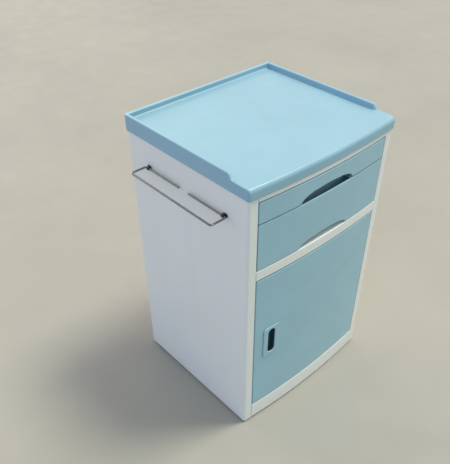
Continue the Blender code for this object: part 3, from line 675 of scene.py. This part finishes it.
def front_shell(outline, rim=None):
    """A bowed front: a face with a rounded edge, and rims that run back to one flat plane.

    rim tells which outline edges, by their two ends, get the rounded edge and the rim."""
    bm = bmesh.new()
    face = bm.faces.new([bm.verts.new((x, CROWN_Y, z)) for x, z in outline])
    bm.normal_update()
    if face.normal.y > 0:
        face.normal_flip()
    edges = [e for e in face.edges if rim is None or rim(*e.verts)]
    made = bmesh.ops.extrude_edge_only(bm, edges=edges)["geom"]
    for v in made:
        if isinstance(v, bmesh.types.BMVert):
            v.co.y = FRONT_BACK_Y
    front_edges = [e for e in edges if e.is_valid]
    bmesh.ops.bevel(bm, geom=front_edges, offset=FRONT_EDGE_R, segments=4, profile=0.5,
                    affect="EDGES", clamp_overlap=True)
    facing(bm, (0, -1, 0))
    slice_across(bm, max(x for x, z in outline))
    return follow_bow(bm, behind=CROWN_Y + FRONT_EDGE_R * 1.01)


# ---- top tray
def tray_stations():
    """Where the tray's cross-section is taken: (stretch, share of the way along it).

    Along the sides they draw closer at the lip's ramp, and closer again at the nose."""
    made = [("back_right", i / 6) for i in range(7)]
    made += [("back", i / 10) for i in range(1, 10)]
    made += [("back_left", i / 6) for i in range(7)]
    side = [i / 12 * 0.80 for i in range(1, 12)]
    side += [0.80 + i * 0.01 for i in range(17)]
    side += [0.97 + i * 0.0025 for i in range(12)]
    made += [("left", t) for t in side]
    made += [("front_left", i / 10) for i in range(11)]
    made += [("front", i / 60) for i in range(1, 60)]
    made += [("front_right", i / 10) for i in range(11)]
    made += [("right", 1 - t) for t in reversed(side)]
    return made


class TrayPlan:
    """The top's outline in plan: straight sides and back, a bowed front and round corners."""

    half_width = TRAY_HIGH.x
    radius = (TRAY_HIGH.x**2 + TOP_BOW**2) / (2 * TOP_BOW)
    bow_y = TRAY_LOW.y + radius
    corner_y = TRAY_LOW.y + TOP_BOW

    def front_edge(self, x):
        """Where the front edge is at x, round the corners too."""
        side = self.half_width - TRAY_FRONT_CORNER_R
        if abs(x) <= side:
            return self.bow_y - math.sqrt(self.radius**2 - x * x)
        reach = min(abs(x) - side, TRAY_FRONT_CORNER_R)
        front_y = self.bow_y - math.sqrt((self.radius - TRAY_FRONT_CORNER_R) ** 2 - side**2)
        return front_y - math.sqrt(TRAY_FRONT_CORNER_R**2 - reach**2)

    def nose_drop(self, x, y):
        """How far the rounded front edge lies under the plate's level."""
        ahead = 1 - min(max((y - self.front_edge(x)) / NOSE_R, 0), 1)
        return NOSE_R * (1 - math.sqrt(1 - ahead**2))

    def point(self, stretch, share, inset):
        """The point a share of the way along a stretch of the outline, moved in by inset."""
        side = self.half_width - inset
        back = TRAY_HIGH.y - inset
        rear = max(TRAY_BACK_CORNER_R - inset, SMALLEST_R)
        front = max(TRAY_FRONT_CORNER_R - inset, SMALLEST_R)
        radius = self.radius - inset
        front_y = self.bow_y - math.sqrt((radius - front) ** 2 - (side - front) ** 2)
        turn = math.atan2(front_y - self.bow_y, side - front)
        sign = -1 if stretch.endswith("left") else 1
        if stretch in ("back_right", "back_left"):
            angle = math.radians(90 * share) if sign > 0 else math.radians(90 - 90 * share)
            return (sign * (side - rear + rear * math.cos(angle)),
                    back - rear + rear * math.sin(angle))
        if stretch == "back":
            return ((side - rear) * (1 - 2 * share), back)
        if stretch in ("left", "right"):
            y0, y1 = back - rear, front_y
            return (sign * side, y0 + (y1 - y0) * (share if sign < 0 else 1 - share))
        if stretch in ("front_left", "front_right"):
            angle = turn * (share if sign < 0 else 1 - share)
            return (sign * (side - front + front * math.cos(angle)),
                    front_y + front * math.sin(angle))
        start = -math.pi - turn
        angle = start + (turn - start) * share
        return (radius * math.cos(angle), self.bow_y + radius * math.sin(angle))


def quarter(inset, z, radius, start, steps=6):
    """A quarter circle of a cross-section, turning by -90 degrees from start, as (inset, z)."""
    return [(inset + radius * math.cos(a), z + radius * math.sin(a))
            for a in (math.radians(start - 90 * i / steps) for i in range(steps + 1))]


def tray_section(lip, nose):
    """(inset, z) from the outer wall over the lip to the plate; lip and nose from 0 to 1."""
    plate_z = TRAY_HIGH.z - LIP_HEIGHT
    top = TRAY_HIGH.z
    reach = LIP_WIDTH + LIP_FOOT_R
    raised = quarter(LIP_TOP_R, top - LIP_TOP_R, LIP_TOP_R, 180)
    raised += quarter(LIP_WIDTH - LIP_TOP_R, top - LIP_TOP_R, LIP_TOP_R, 90)
    foot = quarter(reach, plate_z + LIP_FOOT_R, LIP_FOOT_R, 270)[::-1]
    raised += [(2 * reach - i, z) if i > reach else (i, z) for i, z in foot]
    radius = FLAT_EDGE_R + (NOSE_R - FLAT_EDGE_R) * nose
    depth = FLAT_EDGE_R * (1 - nose)
    flat = [(radius * (1 - math.cos(a)), plate_z - depth * (1 - math.sin(a)))
            for a in (math.radians(15 * i) for i in range(7))]
    spare = len(raised) - len(flat)
    flat += [(radius + (reach - radius) * (i + 1) / spare, plate_z) for i in range(spare)]
    return [(a[0] * (1 - lip) + b[0] * lip, a[1] * (1 - lip) + b[1] * lip)
            for a, b in zip(flat, raised)]


def smooth(t):
    """0 up to t = 0, 1 from t = 1, and an S-shaped rise between."""
    t = min(max(t, 0.0), 1.0)
    return t * t * (3 - 2 * t)


def top_tray():
    """A hollow moulding: seat flange, skirt, a lip on three sides and a rounded front nose."""
    plan = TrayPlan()
    floor_z = TRAY_LOW.z
    under = [(TRAY_WALL, TRAY_HIGH.z - LIP_HEIGHT - TRAY_PLATE), (TRAY_WALL, floor_z + TRAY_WALL),
             (TRAY_SEAT, floor_z + TRAY_WALL), (TRAY_SEAT, floor_z)]
    under += quarter(SKIRT_EDGE_R, floor_z + SKIRT_EDGE_R, SKIRT_EDGE_R, 270, 3)
    columns = []
    for stretch, share in tray_stations():
        y = plan.point(stretch, share, 0)[1]
        lip = smooth((y - plan.corner_y - LIP_END) / LIP_RAMP)
        nose = {"front": 1, "front_left": smooth(share * NOSE_ONSET),
                "front_right": smooth((1 - share) * NOSE_ONSET)}.get(stretch, 0)
        column = []
        for i, (inset, z) in enumerate(under + tray_section(lip, nose)):
            x, y = plan.point(stretch, share, inset)
            column.append((x, y, z if i < len(under) else z - plan.nose_drop(x, y)))
        columns.append(column)
    rings = [list(ring) for ring in zip(*columns)]
    steady_normals(publish(loft(rings), "top_tray"))


# ---- body
def side_panel(node, side):
    """One folded sheet: back flange, side, round corner, bowed stile and its return."""
    low, high = corners(node)
    inner_x = min(abs(low.x), abs(high.x))
    back_y = high.y
    corner_y = CROWN_Y + bow(SIDE_X - SIDE_CORNER_R)
    path = [(SIDE_X - BACK_FLANGE, back_y), (SIDE_X, back_y), (SIDE_X, corner_y)]
    first = SIDE_X - SIDE_CORNER_R - PAST_CORNER
    stile = [first + (inner_x - first) * i / STILE_STEPS for i in range(STILE_STEPS + 1)]
    path += [(x, CROWN_Y + bow(x)) for x in stile]
    path += [(inner_x, FRONT_BACK_Y)]
    radii = [0, BEND_R, SIDE_CORNER_R] + [0] * STILE_STEPS + [BEND_R, 0]
    path = filleted(path, radii, steps=8)
    bm = strip([(side * x, y) for x, y in path], low.z, high.z)
    thicken(publish(facing(bm, (side, 0, 0)), node))


def bowed_rail(node):
    """A bowed channel between the stiles, with rounded folds along its top and bottom."""
    low, high = corners(node)
    outline = [(high.x, low.z), (high.x, high.z), (low.x, high.z), (low.x, low.z)]
    bm = front_shell(outline, rim=lambda a, b: abs(a.co.x - b.co.x) > STEEL)
    thicken(publish(bm, node))


def finger_well(top_z):
    """What is cut from a top rim under an arch: all but a lip, with round front corners."""
    half = ARCHES["drawer_1_front"][0] / 2 - WELL_SIDE
    lip_y = CROWN_Y + WELL_LIP
    plan = [(half, FRONT_BACK_Y + WELL_LIP), (-half, FRONT_BACK_Y + WELL_LIP),
            (-half, lip_y), (half, lip_y)]
    plan = filleted(plan, [0, 0, WELL_CORNER_R, WELL_CORNER_R])
    bm = prism(plan, top_z - 2 * FRONT_WALL, top_z + FRONT_WALL, axis="Z")
    slice_across(bm, half)
    return follow_bow(bm, behind=FRONT_BACK_Y)


PANS = {  # the open sides of each
    "back_panel": ("-Y", "+X", "-X"),
    "floor_panel": ("-Z", "-Y"),
    "partition_panel": ("-Z", "-Y"),
    "shelf": ("-Z",),
    "left_base_channel": ("+Z", "+Y", "-Y"),
    "right_base_channel": ("+Z", "+Y", "-Y"),
    "left_slide_carrier": ("-X",),
    "right_slide_carrier": ("+X",),
}


def pans():
    """The panels, channels and drawer boxes of folded sheet."""
    for node, without in PANS.items():
        thicken(publish(folded_pan(*corners(node), without), node))
    for node in ("drawer_1_box", "drawer_2_box"):
        bm = folded_pan(*corners(node), ("+Z", "-Y"), hem=HEM)
        thicken(publish(bm, node))


def angle_clip(node):
    """A small folded angle with rounded ends that carries the shelf."""
    low, high = corners(node)
    side = 1 if low.x > 0 else -1
    wall, tip = (high.x, low.x) if side > 0 else (low.x, high.x)
    path = [(wall, low.z), (wall, high.z), (tip, high.z)]
    bm = strip(filleted(path, [0, ANGLE_BEND_R, 0], steps=6), low.y, high.y, axis="Y")
    thicken(publish(facing(bm, (side, 0, 0.5)), node), thickness=ANGLE_THICKNESS)


def foot(node):
    """A rubber pad with a stud: rounded edges and a shallow waist."""
    low, high = corners(node)
    middle = (low + high) / 2
    radius = (high.x - low.x) / 2
    profile = [(0, high.z), (STUD_R - STUD_CHAMFER, high.z), (STUD_R, high.z - STUD_CHAMFER),
               (STUD_R, PAD_HEIGHT)]
    profile += arc((radius - PAD_SHOULDER, PAD_HEIGHT - PAD_TOP_R), PAD_TOP_R, 90, 0, 4)
    profile += arc((radius - PAD_FOOT_R, PAD_FOOT_R), PAD_FOOT_R, 0, -90, 4)
    profile += [(0, 0)]
    steady_normals(publish(lathe(profile, (middle.x, middle.y, 0)), node))


# ---- slides and drawers
def slide_member(node, opens):
    """A rolled channel: a web, and two rounded flanges with lips turned towards the middle."""
    low, high = corners(node)
    web, free = (high.x, low.x) if opens < 0 else (low.x, high.x)
    path = [(free, high.z - SLIDE_LIP), (free, high.z), (web, high.z), (web, low.z),
            (free, low.z), (free, low.z + SLIDE_LIP)]
    radii = [0, SLIDE_LIP_R, SLIDE_WEB_R, SLIDE_WEB_R, SLIDE_LIP_R, 0]
    bm = strip(filleted(path, radii), low.y, high.y, axis="Y")
    thicken(publish(facing(bm, (-opens, 0, 0)), node), edge=FINE_EDGE)


def slides():
    """Every slide member; an inner one opens away from the drawer, the others towards it."""
    for node in sorted(BODY_OF):
        if "_slide_" in node and node.startswith("drawer"):
            side = -1 if "_left_" in node else 1
            opens = side if node.endswith("inner") else -side
            slide_member(node, opens)


def backing_plate(node, front):
    """The flat sheet that closes a front from behind, cut to its outline."""
    low, high = corners(node)
    front_low, front_high = corners(front)
    inset = low.x - front_low.x
    outline = front_outline(front_low, front_high, inset, ARCHES.get(front), PLATE_CORNER_R)
    soften(publish(prism(outline, low.y, high.y), node))


def plate(node, radius, **rounding):
    """A flat plate with round corners that fills a part's box."""
    low, high = corners(node)
    middle = (low + high) / 2
    outline = rounded_rectangle((high.x - low.x) / 2, (high.z - low.z) / 2, radius,
                                middle=(middle.x, middle.z))
    soften(publish(prism(outline, low.y, high.y), node), **rounding)


def drawer(number):
    """A front with its finger gap, backing plate, the box's front wall and the screws."""
    front = f"drawer_{number}_front"
    outline = front_outline(*corners(front), arch=ARCHES[front])
    piece = thicken(publish(front_shell(outline), front), thickness=FRONT_WALL)
    if number == 2:
        cut_ready_made(piece, finger_well(corners(front)[1].z))
    backing_plate(f"drawer_{number}_backing_plate", front)
    plate(f"drawer_{number}_box_front", BOX_CORNER_R)
    for side in ("left", "right"):
        screw(f"drawer_{number}_screw_{side}")


def screw(node):
    """A pan-head screw with a cross recess; its head is inside the drawer."""
    low, high = corners(node)
    middle = (low + high) / 2
    head_r = (high.x - low.x) / 2
    length = high.y - low.y
    profile = [(0, HEAD_HEIGHT)]
    for angle in range(15, 91, 15):
        turn = math.radians(angle)
        profile.append((head_r * math.sin(turn) ** 0.8,
                        HEAD_HEIGHT * (0.35 + 0.65 * math.cos(turn))))
    profile += [(head_r, HEAD_EDGE), (head_r - HEAD_EDGE, 0), (SHANK_R, 0)]
    turns = int((length - HEAD_HEIGHT - SCREW_TIP) / THREAD_PITCH)
    for i in range(turns):
        profile += [(SHANK_R, -i * THREAD_PITCH - HEAD_EDGE),
                    (SHANK_R - THREAD_DEPTH, -(i + 0.6) * THREAD_PITCH - HEAD_EDGE)]
    profile += [(SHANK_R / 2, HEAD_HEIGHT - length), (0, HEAD_HEIGHT - length)]
    bm = lathe(profile, (middle.x, high.y - HEAD_HEIGHT, middle.z), steps=32, axis="Y")
    for turn in (20, 110):
        arm = prism(rounded_rectangle(*RECESS_ARM, steps=3), high.y - RECESS_DEPTH,
                    high.y + STEEL)
        bmesh.ops.rotate(arm, verts=arm.verts, cent=(0, 0, 0),
                         matrix=Matrix.Rotation(math.radians(turn), 3, "Y"))
        bmesh.ops.translate(arm, verts=arm.verts, vec=(middle.x, 0, middle.z))
        bm = carve(bm, arm)
    steady_normals(publish(bm, node))


# ---- door
def door():
    """The skin with its holes for the pull's cup and the bushes, the back panel and the pull."""
    skin = thicken(publish(front_shell(front_outline(*corners("door_skin"))), "door_skin"),
                   thickness=FRONT_WALL)
    low, high = corners("door_pull")
    middle = ((low.x + high.x) / 2, (low.z + high.z) / 2)
    half_x = SLOT_WIDTH / 2 + CUP_WALL + CUP_CLEARANCE
    half_z = SLOT_HEIGHT / 2 + CUP_WALL + CUP_CLEARANCE
    hole = rounded_rectangle(half_x, half_z, half_x * ALMOST_ROUND, SLOT_STEPS, middle)
    cut_ready_made(skin, prism(hole, CROWN_Y - CUT, CROWN_Y + BODY_BOW))
    for node in ("hinge_bush_top", "hinge_bush_bottom"):
        bush_low, bush_high = corners(node)
        centre = (bush_low + bush_high) / 2
        hole = arc((centre.x, centre.y), BUSH_R + TOUCH, *ROUND)
        cut_ready_made(skin, prism(hole, bush_low.z - BUSH_R, bush_high.z + BUSH_R, axis="Z"))
    backing_plate("door_back_panel", "door_skin")
    door_pull(low, high, middle)
    pull_cup(middle)


def cut_ready_made(piece, tool):
    """Cuts a hole in a piece whose modifiers give it its thickness, and softens it again."""
    for made in [m for m in piece.modifiers if m.type in ("BEVEL", "WEIGHTED_NORMAL")]:
        piece.modifiers.remove(made)
    evaluated = piece.evaluated_get(bpy.context.evaluated_depsgraph_get())
    solid = bmesh.new()
    solid.from_mesh(evaluated.to_mesh())
    bmesh.ops.translate(tool, verts=tool.verts, vec=SHIFT)
    solid = carve(solid, tool)
    piece.modifiers.clear()
    solid.to_mesh(piece.data)
    solid.free()
    piece.data.shade_smooth()
    soften(piece)


def quarter_turn(steps=4):
    """(1 - sine, 1 - cosine) of the angles from 0 to 90 degrees, for a rounded edge."""
    angles = [math.pi / 2 * i / steps for i in range(steps + 1)]
    return [(1 - math.sin(a), 1 - math.cos(a)) for a in angles]


def slot_rings(sections, middle):
    """Rounded rectangles, each (half width, half height, corner radius, y), set on the bow."""
    rings = []
    for half_x, half_z, radius, y in sections:
        radius = min(radius, half_x * ALMOST_ROUND)
        ring = rounded_rectangle(half_x, half_z, radius, SLOT_STEPS, middle)
        rings.append([(x, y + bow(x), z) for x, z in ring])
    return rings


def door_pull(low, high, middle):
    """A bezel with soft edges round an upright slot."""
    half_x, half_z = (high.x - low.x) / 2, (high.z - low.z) / 2
    face_y = CROWN_Y - TOUCH
    front_y = face_y - BEZEL
    slot_x, slot_z = SLOT_WIDTH / 2, SLOT_HEIGHT / 2
    sections = [(slot_x, slot_z, slot_x, face_y), (half_x, half_z, BEZEL_CORNER_R, face_y)]
    for towards, inset in quarter_turn():
        inset, y = inset * BEZEL_EDGE_R, front_y + towards * BEZEL_EDGE_R
        sections.append((half_x - inset, half_z - inset, BEZEL_CORNER_R - inset, y))
    for grow, back in quarter_turn():
        grow, y = grow * SLOT_EDGE_R, front_y + back * SLOT_EDGE_R
        sections.append((slot_x + grow, slot_z + grow, slot_x + grow, y))
    steady_normals(publish(loft(slot_rings(sections, middle), ring_shaped=True), "door_pull"))


def pull_cup(middle):
    """The cup behind the slot, with a rounded floor; its near-black colour is painted shade for
    the depth of the slot.
    """
    back_y = corners("pull_cup")[1].y - bow(abs(middle[0]) + SLOT_WIDTH / 2 + CUP_WALL) - TOUCH
    floor_y = back_y - CUP_WALL
    slot_x, slot_z = SLOT_WIDTH / 2, SLOT_HEIGHT / 2
    wall_x, wall_z = slot_x + CUP_WALL, slot_z + CUP_WALL
    sections = []
    for towards, inset in quarter_turn()[::-1]:
        inset, y = inset * CUP_FLOOR_R, back_y - towards * CUP_FLOOR_R
        sections.append((wall_x - inset, wall_z - inset, wall_x - inset, y))
    sections += [(wall_x, wall_z, wall_x, CROWN_Y), (slot_x, slot_z, slot_x, CROWN_Y)]
    for towards, inset in quarter_turn():
        inset, y = inset * CUP_FLOOR_R, floor_y - towards * CUP_FLOOR_R
        sections.append((slot_x - inset, slot_z - inset, slot_x - inset, y))
    steady_normals(publish(loft(slot_rings(sections, middle)), "pull_cup"))


def pin_profile(washer_r, length):
    """A pin with a washer at its root."""
    return [(0, 0), (washer_r - TURNED_EDGE, 0), (washer_r, TURNED_EDGE),
            (washer_r, WASHER - TURNED_EDGE), (washer_r - TURNED_EDGE, WASHER),
            (PIN_R, WASHER), (PIN_R, length - PIN_CHAMFER),
            (PIN_R - PIN_CHAMFER, length), (0, length)]


def bush_profile(flange_r, length):
    """A flanged bush, from its bore round its outside."""
    return [(BORE_R, TURNED_EDGE), (BORE_R + TURNED_EDGE, 0), (flange_r - TURNED_EDGE, 0),
            (flange_r, TURNED_EDGE), (flange_r, FLANGE), (BUSH_R, FLANGE),
            (BUSH_R, length - BUSH_CHAMFER), (BUSH_R - BUSH_CHAMFER, length), (BORE_R, length)]


def hinge_parts():
    for kind, profile_of in (("pin", pin_profile), ("bush", bush_profile)):
        for end, up in (("top", -1), ("bottom", 1)):
            node = f"hinge_{kind}_{end}"
            low, high = corners(node)
            middle = (low + high) / 2
            base = low.z if up > 0 else high.z
            profile = profile_of((high.x - low.x) / 2, high.z - low.z)
            bm = lathe([(r, up * z) for r, z in profile], (middle.x, middle.y, base))
            steady_normals(publish(bm, node))


def catch_parts():
    for node, edge in (("magnetic_catch", CATCH_EDGE), ("strike_plate", FINE_EDGE)):
        plate(node, CATCH_CORNER_R, edge=edge, segments=3)


# ---- towel rail
def towel_rail():
    """One bent wire whose two ends lie along the side panel."""
    low, high = corners("towel_rail")
    radius = (high.z - low.z) / 2
    z = (high.z + low.z) / 2
    back_x, bar_x = high.x - radius, low.x + radius
    half = high.y - radius
    inner = (back_x - RAIL_BEND, half - RAIL_BEND)
    outer = (bar_x + RAIL_BEND, half - RAIL_BEND)
    one = [(back_x, RAIL_END)] + arc(inner, RAIL_BEND, 0, 90, 10)
    one += arc(outer, RAIL_BEND, 90, 180, 10)
    route = one + [(x, -y) for x, y in reversed(one)]
    bm = tube([(x, y, z) for x, y in route], radius * ALMOST_FULL)
    steady_normals(publish(bm, "towel_rail"))


def rail_clip(node):
    """A black saddle clip: a foot plate with round corners and a hump over the wire."""
    low, high = corners(node)
    wire_low, wire_high = corners("towel_rail")
    wire_r = (wire_high.z - wire_low.z) / 2
    wire_x = wire_high.x - wire_r
    side = 1 if low.y > 0 else -1
    middle = (low + high) / 2
    hump_r = wire_x - low.x
    near_y = min(abs(low.y), abs(high.y))
    ys = sorted((side * (near_y + TOUCH), side * (near_y + SADDLE)))
    base = rounded_rectangle((high.y - low.y) / 2, (high.z - low.z) / 2, CLIP_CORNER_R, 5,
                             (middle.y, middle.z))
    inside_x = high.x - CLIP_FOOT / 2
    hump = [(inside_x, middle.z - hump_r)]
    hump += arc((wire_x, middle.z), hump_r, 270, 90, 16)
    hump += [(inside_x, middle.z + hump_r)]
    bm = carve(prism(base, high.x - CLIP_FOOT, high.x, axis="X"), prism(hump, *ys), "UNION")
    bore = arc((wire_x, middle.z), wire_r + CLIP_CLEARANCE, *ROUND)
    bm = carve(bm, prism(bore, low.y - CUT, high.y + CUT))
    soften(publish(bm, node), CLIP_EDGE, segments=3, angle=40)


# ---- room
SKY = (  # towards, sharpness, colour and strength
    ((0.0, 1.0, 0.10), 6, (4.3, 4.3, 3.7)),  # the far window, low behind the cabinet
    ((1.0, 0.0, 0.62), 4, (1.5, 1.3, 1.4)),
    ((-1.0, -0.1, 0.45), 4, (0.76, 0.92, 1.36)),
    ((-0.1, -1.0, 0.62), 4, (0.71, 0.92, 0.83)),
)
SUN_FROM = (1.25, -0.55, 2.70)
SUN_STRENGTH = 2.45
SUN_COLOUR = (0.97, 1.0, 0.80)
SUN_SPREAD = 18  # degrees
FLOOR_HALF = 6
CAMERA_AT = (-0.88085, -0.88895, 1.3588)
CAMERA_AIM = (-0.09095, 0.00575, 0.3337)
CAMERA_ROLL = -0.6  # degrees
LENS = 45.67
SENSOR = 36
LENS_SHIFT = (0.0009, 0.0927)


def aimed(place, aim):
    """The turn that makes a light or a camera at a place look at an aim."""
    return (Vector(aim) - Vector(place)).to_track_quat("-Z", "Y")


def floor():
    """A plain pale floor with a faintly cloudy surface."""
    bm = bmesh.new()
    bmesh.ops.create_grid(bm, x_segments=2, y_segments=2, size=FLOOR_HALF)
    mesh = bpy.data.meshes.new("floor")
    bm.to_mesh(mesh)
    bm.free()
    n = Nodes("floor_paint")
    cloud = n.remap(n.noise(1.2, detail=6), 0.3, 0.7)
    tone = n.mix(cloud, (0.325, 0.305, 0.280), (0.365, 0.342, 0.315))
    n.colour(tone)
    n.roughness(n.remap(n.noise(8, detail=5), 0.3, 0.7, 0.55, 0.75))
    n.bump((n.noise(220, detail=4), 0.0003))
    mesh.materials.append(n.material)
    thing = bpy.data.objects.new("floor", mesh)
    bpy.context.scene.collection.objects.link(thing)


def sky_lobe(tree, towards, sharpness, colour):
    """A soft patch of sky: its colour, fading away from one direction."""
    view = tree.nodes.new("ShaderNodeTexCoord").outputs["Generated"]
    along = step(tree, "VectorMath", "DOT_PRODUCT", {0: view, 1: Vector(towards).normalized()})
    ahead = step(tree, "Math", "MAXIMUM", {0: along["Value"], 1: 0.0})
    fade = step(tree, "Math", "POWER", {0: ahead["Value"], 1: sharpness})
    return step(tree, "VectorMath", "SCALE", {0: colour, "Scale": fade["Value"]})["Vector"]


def daylight():
    """A dim room with soft patches of light, as from large windows and a pale ceiling."""
    world = bpy.data.worlds.new("daylight")
    world.use_nodes = True
    tree = world.node_tree
    total = None
    for towards, sharpness, colour in SKY:
        lobe = sky_lobe(tree, towards, sharpness, colour)
        total = step(tree, "VectorMath", "ADD", {0: total, 1: lobe})["Vector"] if total else lobe
    tree.links.new(total, tree.nodes["Background"].inputs["Color"])
    bpy.context.scene.world = world


def sun():
    """A soft key light from a high window."""
    data = bpy.data.lights.new("overhead_window", "SUN")
    data.energy = SUN_STRENGTH
    data.color = SUN_COLOUR
    data.angle = math.radians(SUN_SPREAD)
    thing = bpy.data.objects.new("overhead_window", data)
    bpy.context.scene.collection.objects.link(thing)
    thing.location = SUN_FROM
    thing.rotation_euler = aimed(SUN_FROM, (0, 0, 0)).to_euler()


def camera():
    data = bpy.data.cameras.new("camera")
    data.lens = LENS
    data.sensor_width = SENSOR
    data.shift_x, data.shift_y = LENS_SHIFT
    data.clip_start = 0.05
    thing = bpy.data.objects.new("camera", data)
    bpy.context.scene.collection.objects.link(thing)
    thing.location = CAMERA_AT
    roll = Matrix.Rotation(math.radians(CAMERA_ROLL), 3, "Z")
    thing.rotation_euler = (aimed(CAMERA_AT, CAMERA_AIM).to_matrix() @ roll).to_euler()
    bpy.context.scene.camera = thing
    bpy.context.scene.view_settings.view_transform = "Standard"


# ---- assembly
top_tray()
side_panel("left_side_panel", -1)
side_panel("right_side_panel", 1)
for name in ("top_rail", "middle_rail", "base_rail"):
    bowed_rail(name)
pans()
for name in sorted(BODY_OF):
    if name.startswith("shelf_clip"):
        angle_clip(name)
    if name.startswith("foot_"):
        foot(name)
    if name.startswith("rail_clip"):
        rail_clip(name)
slides()
drawer(1)
drawer(2)
door()
hinge_parts()
catch_parts()
towel_rail()
floor()
daylight()
sun()
camera()
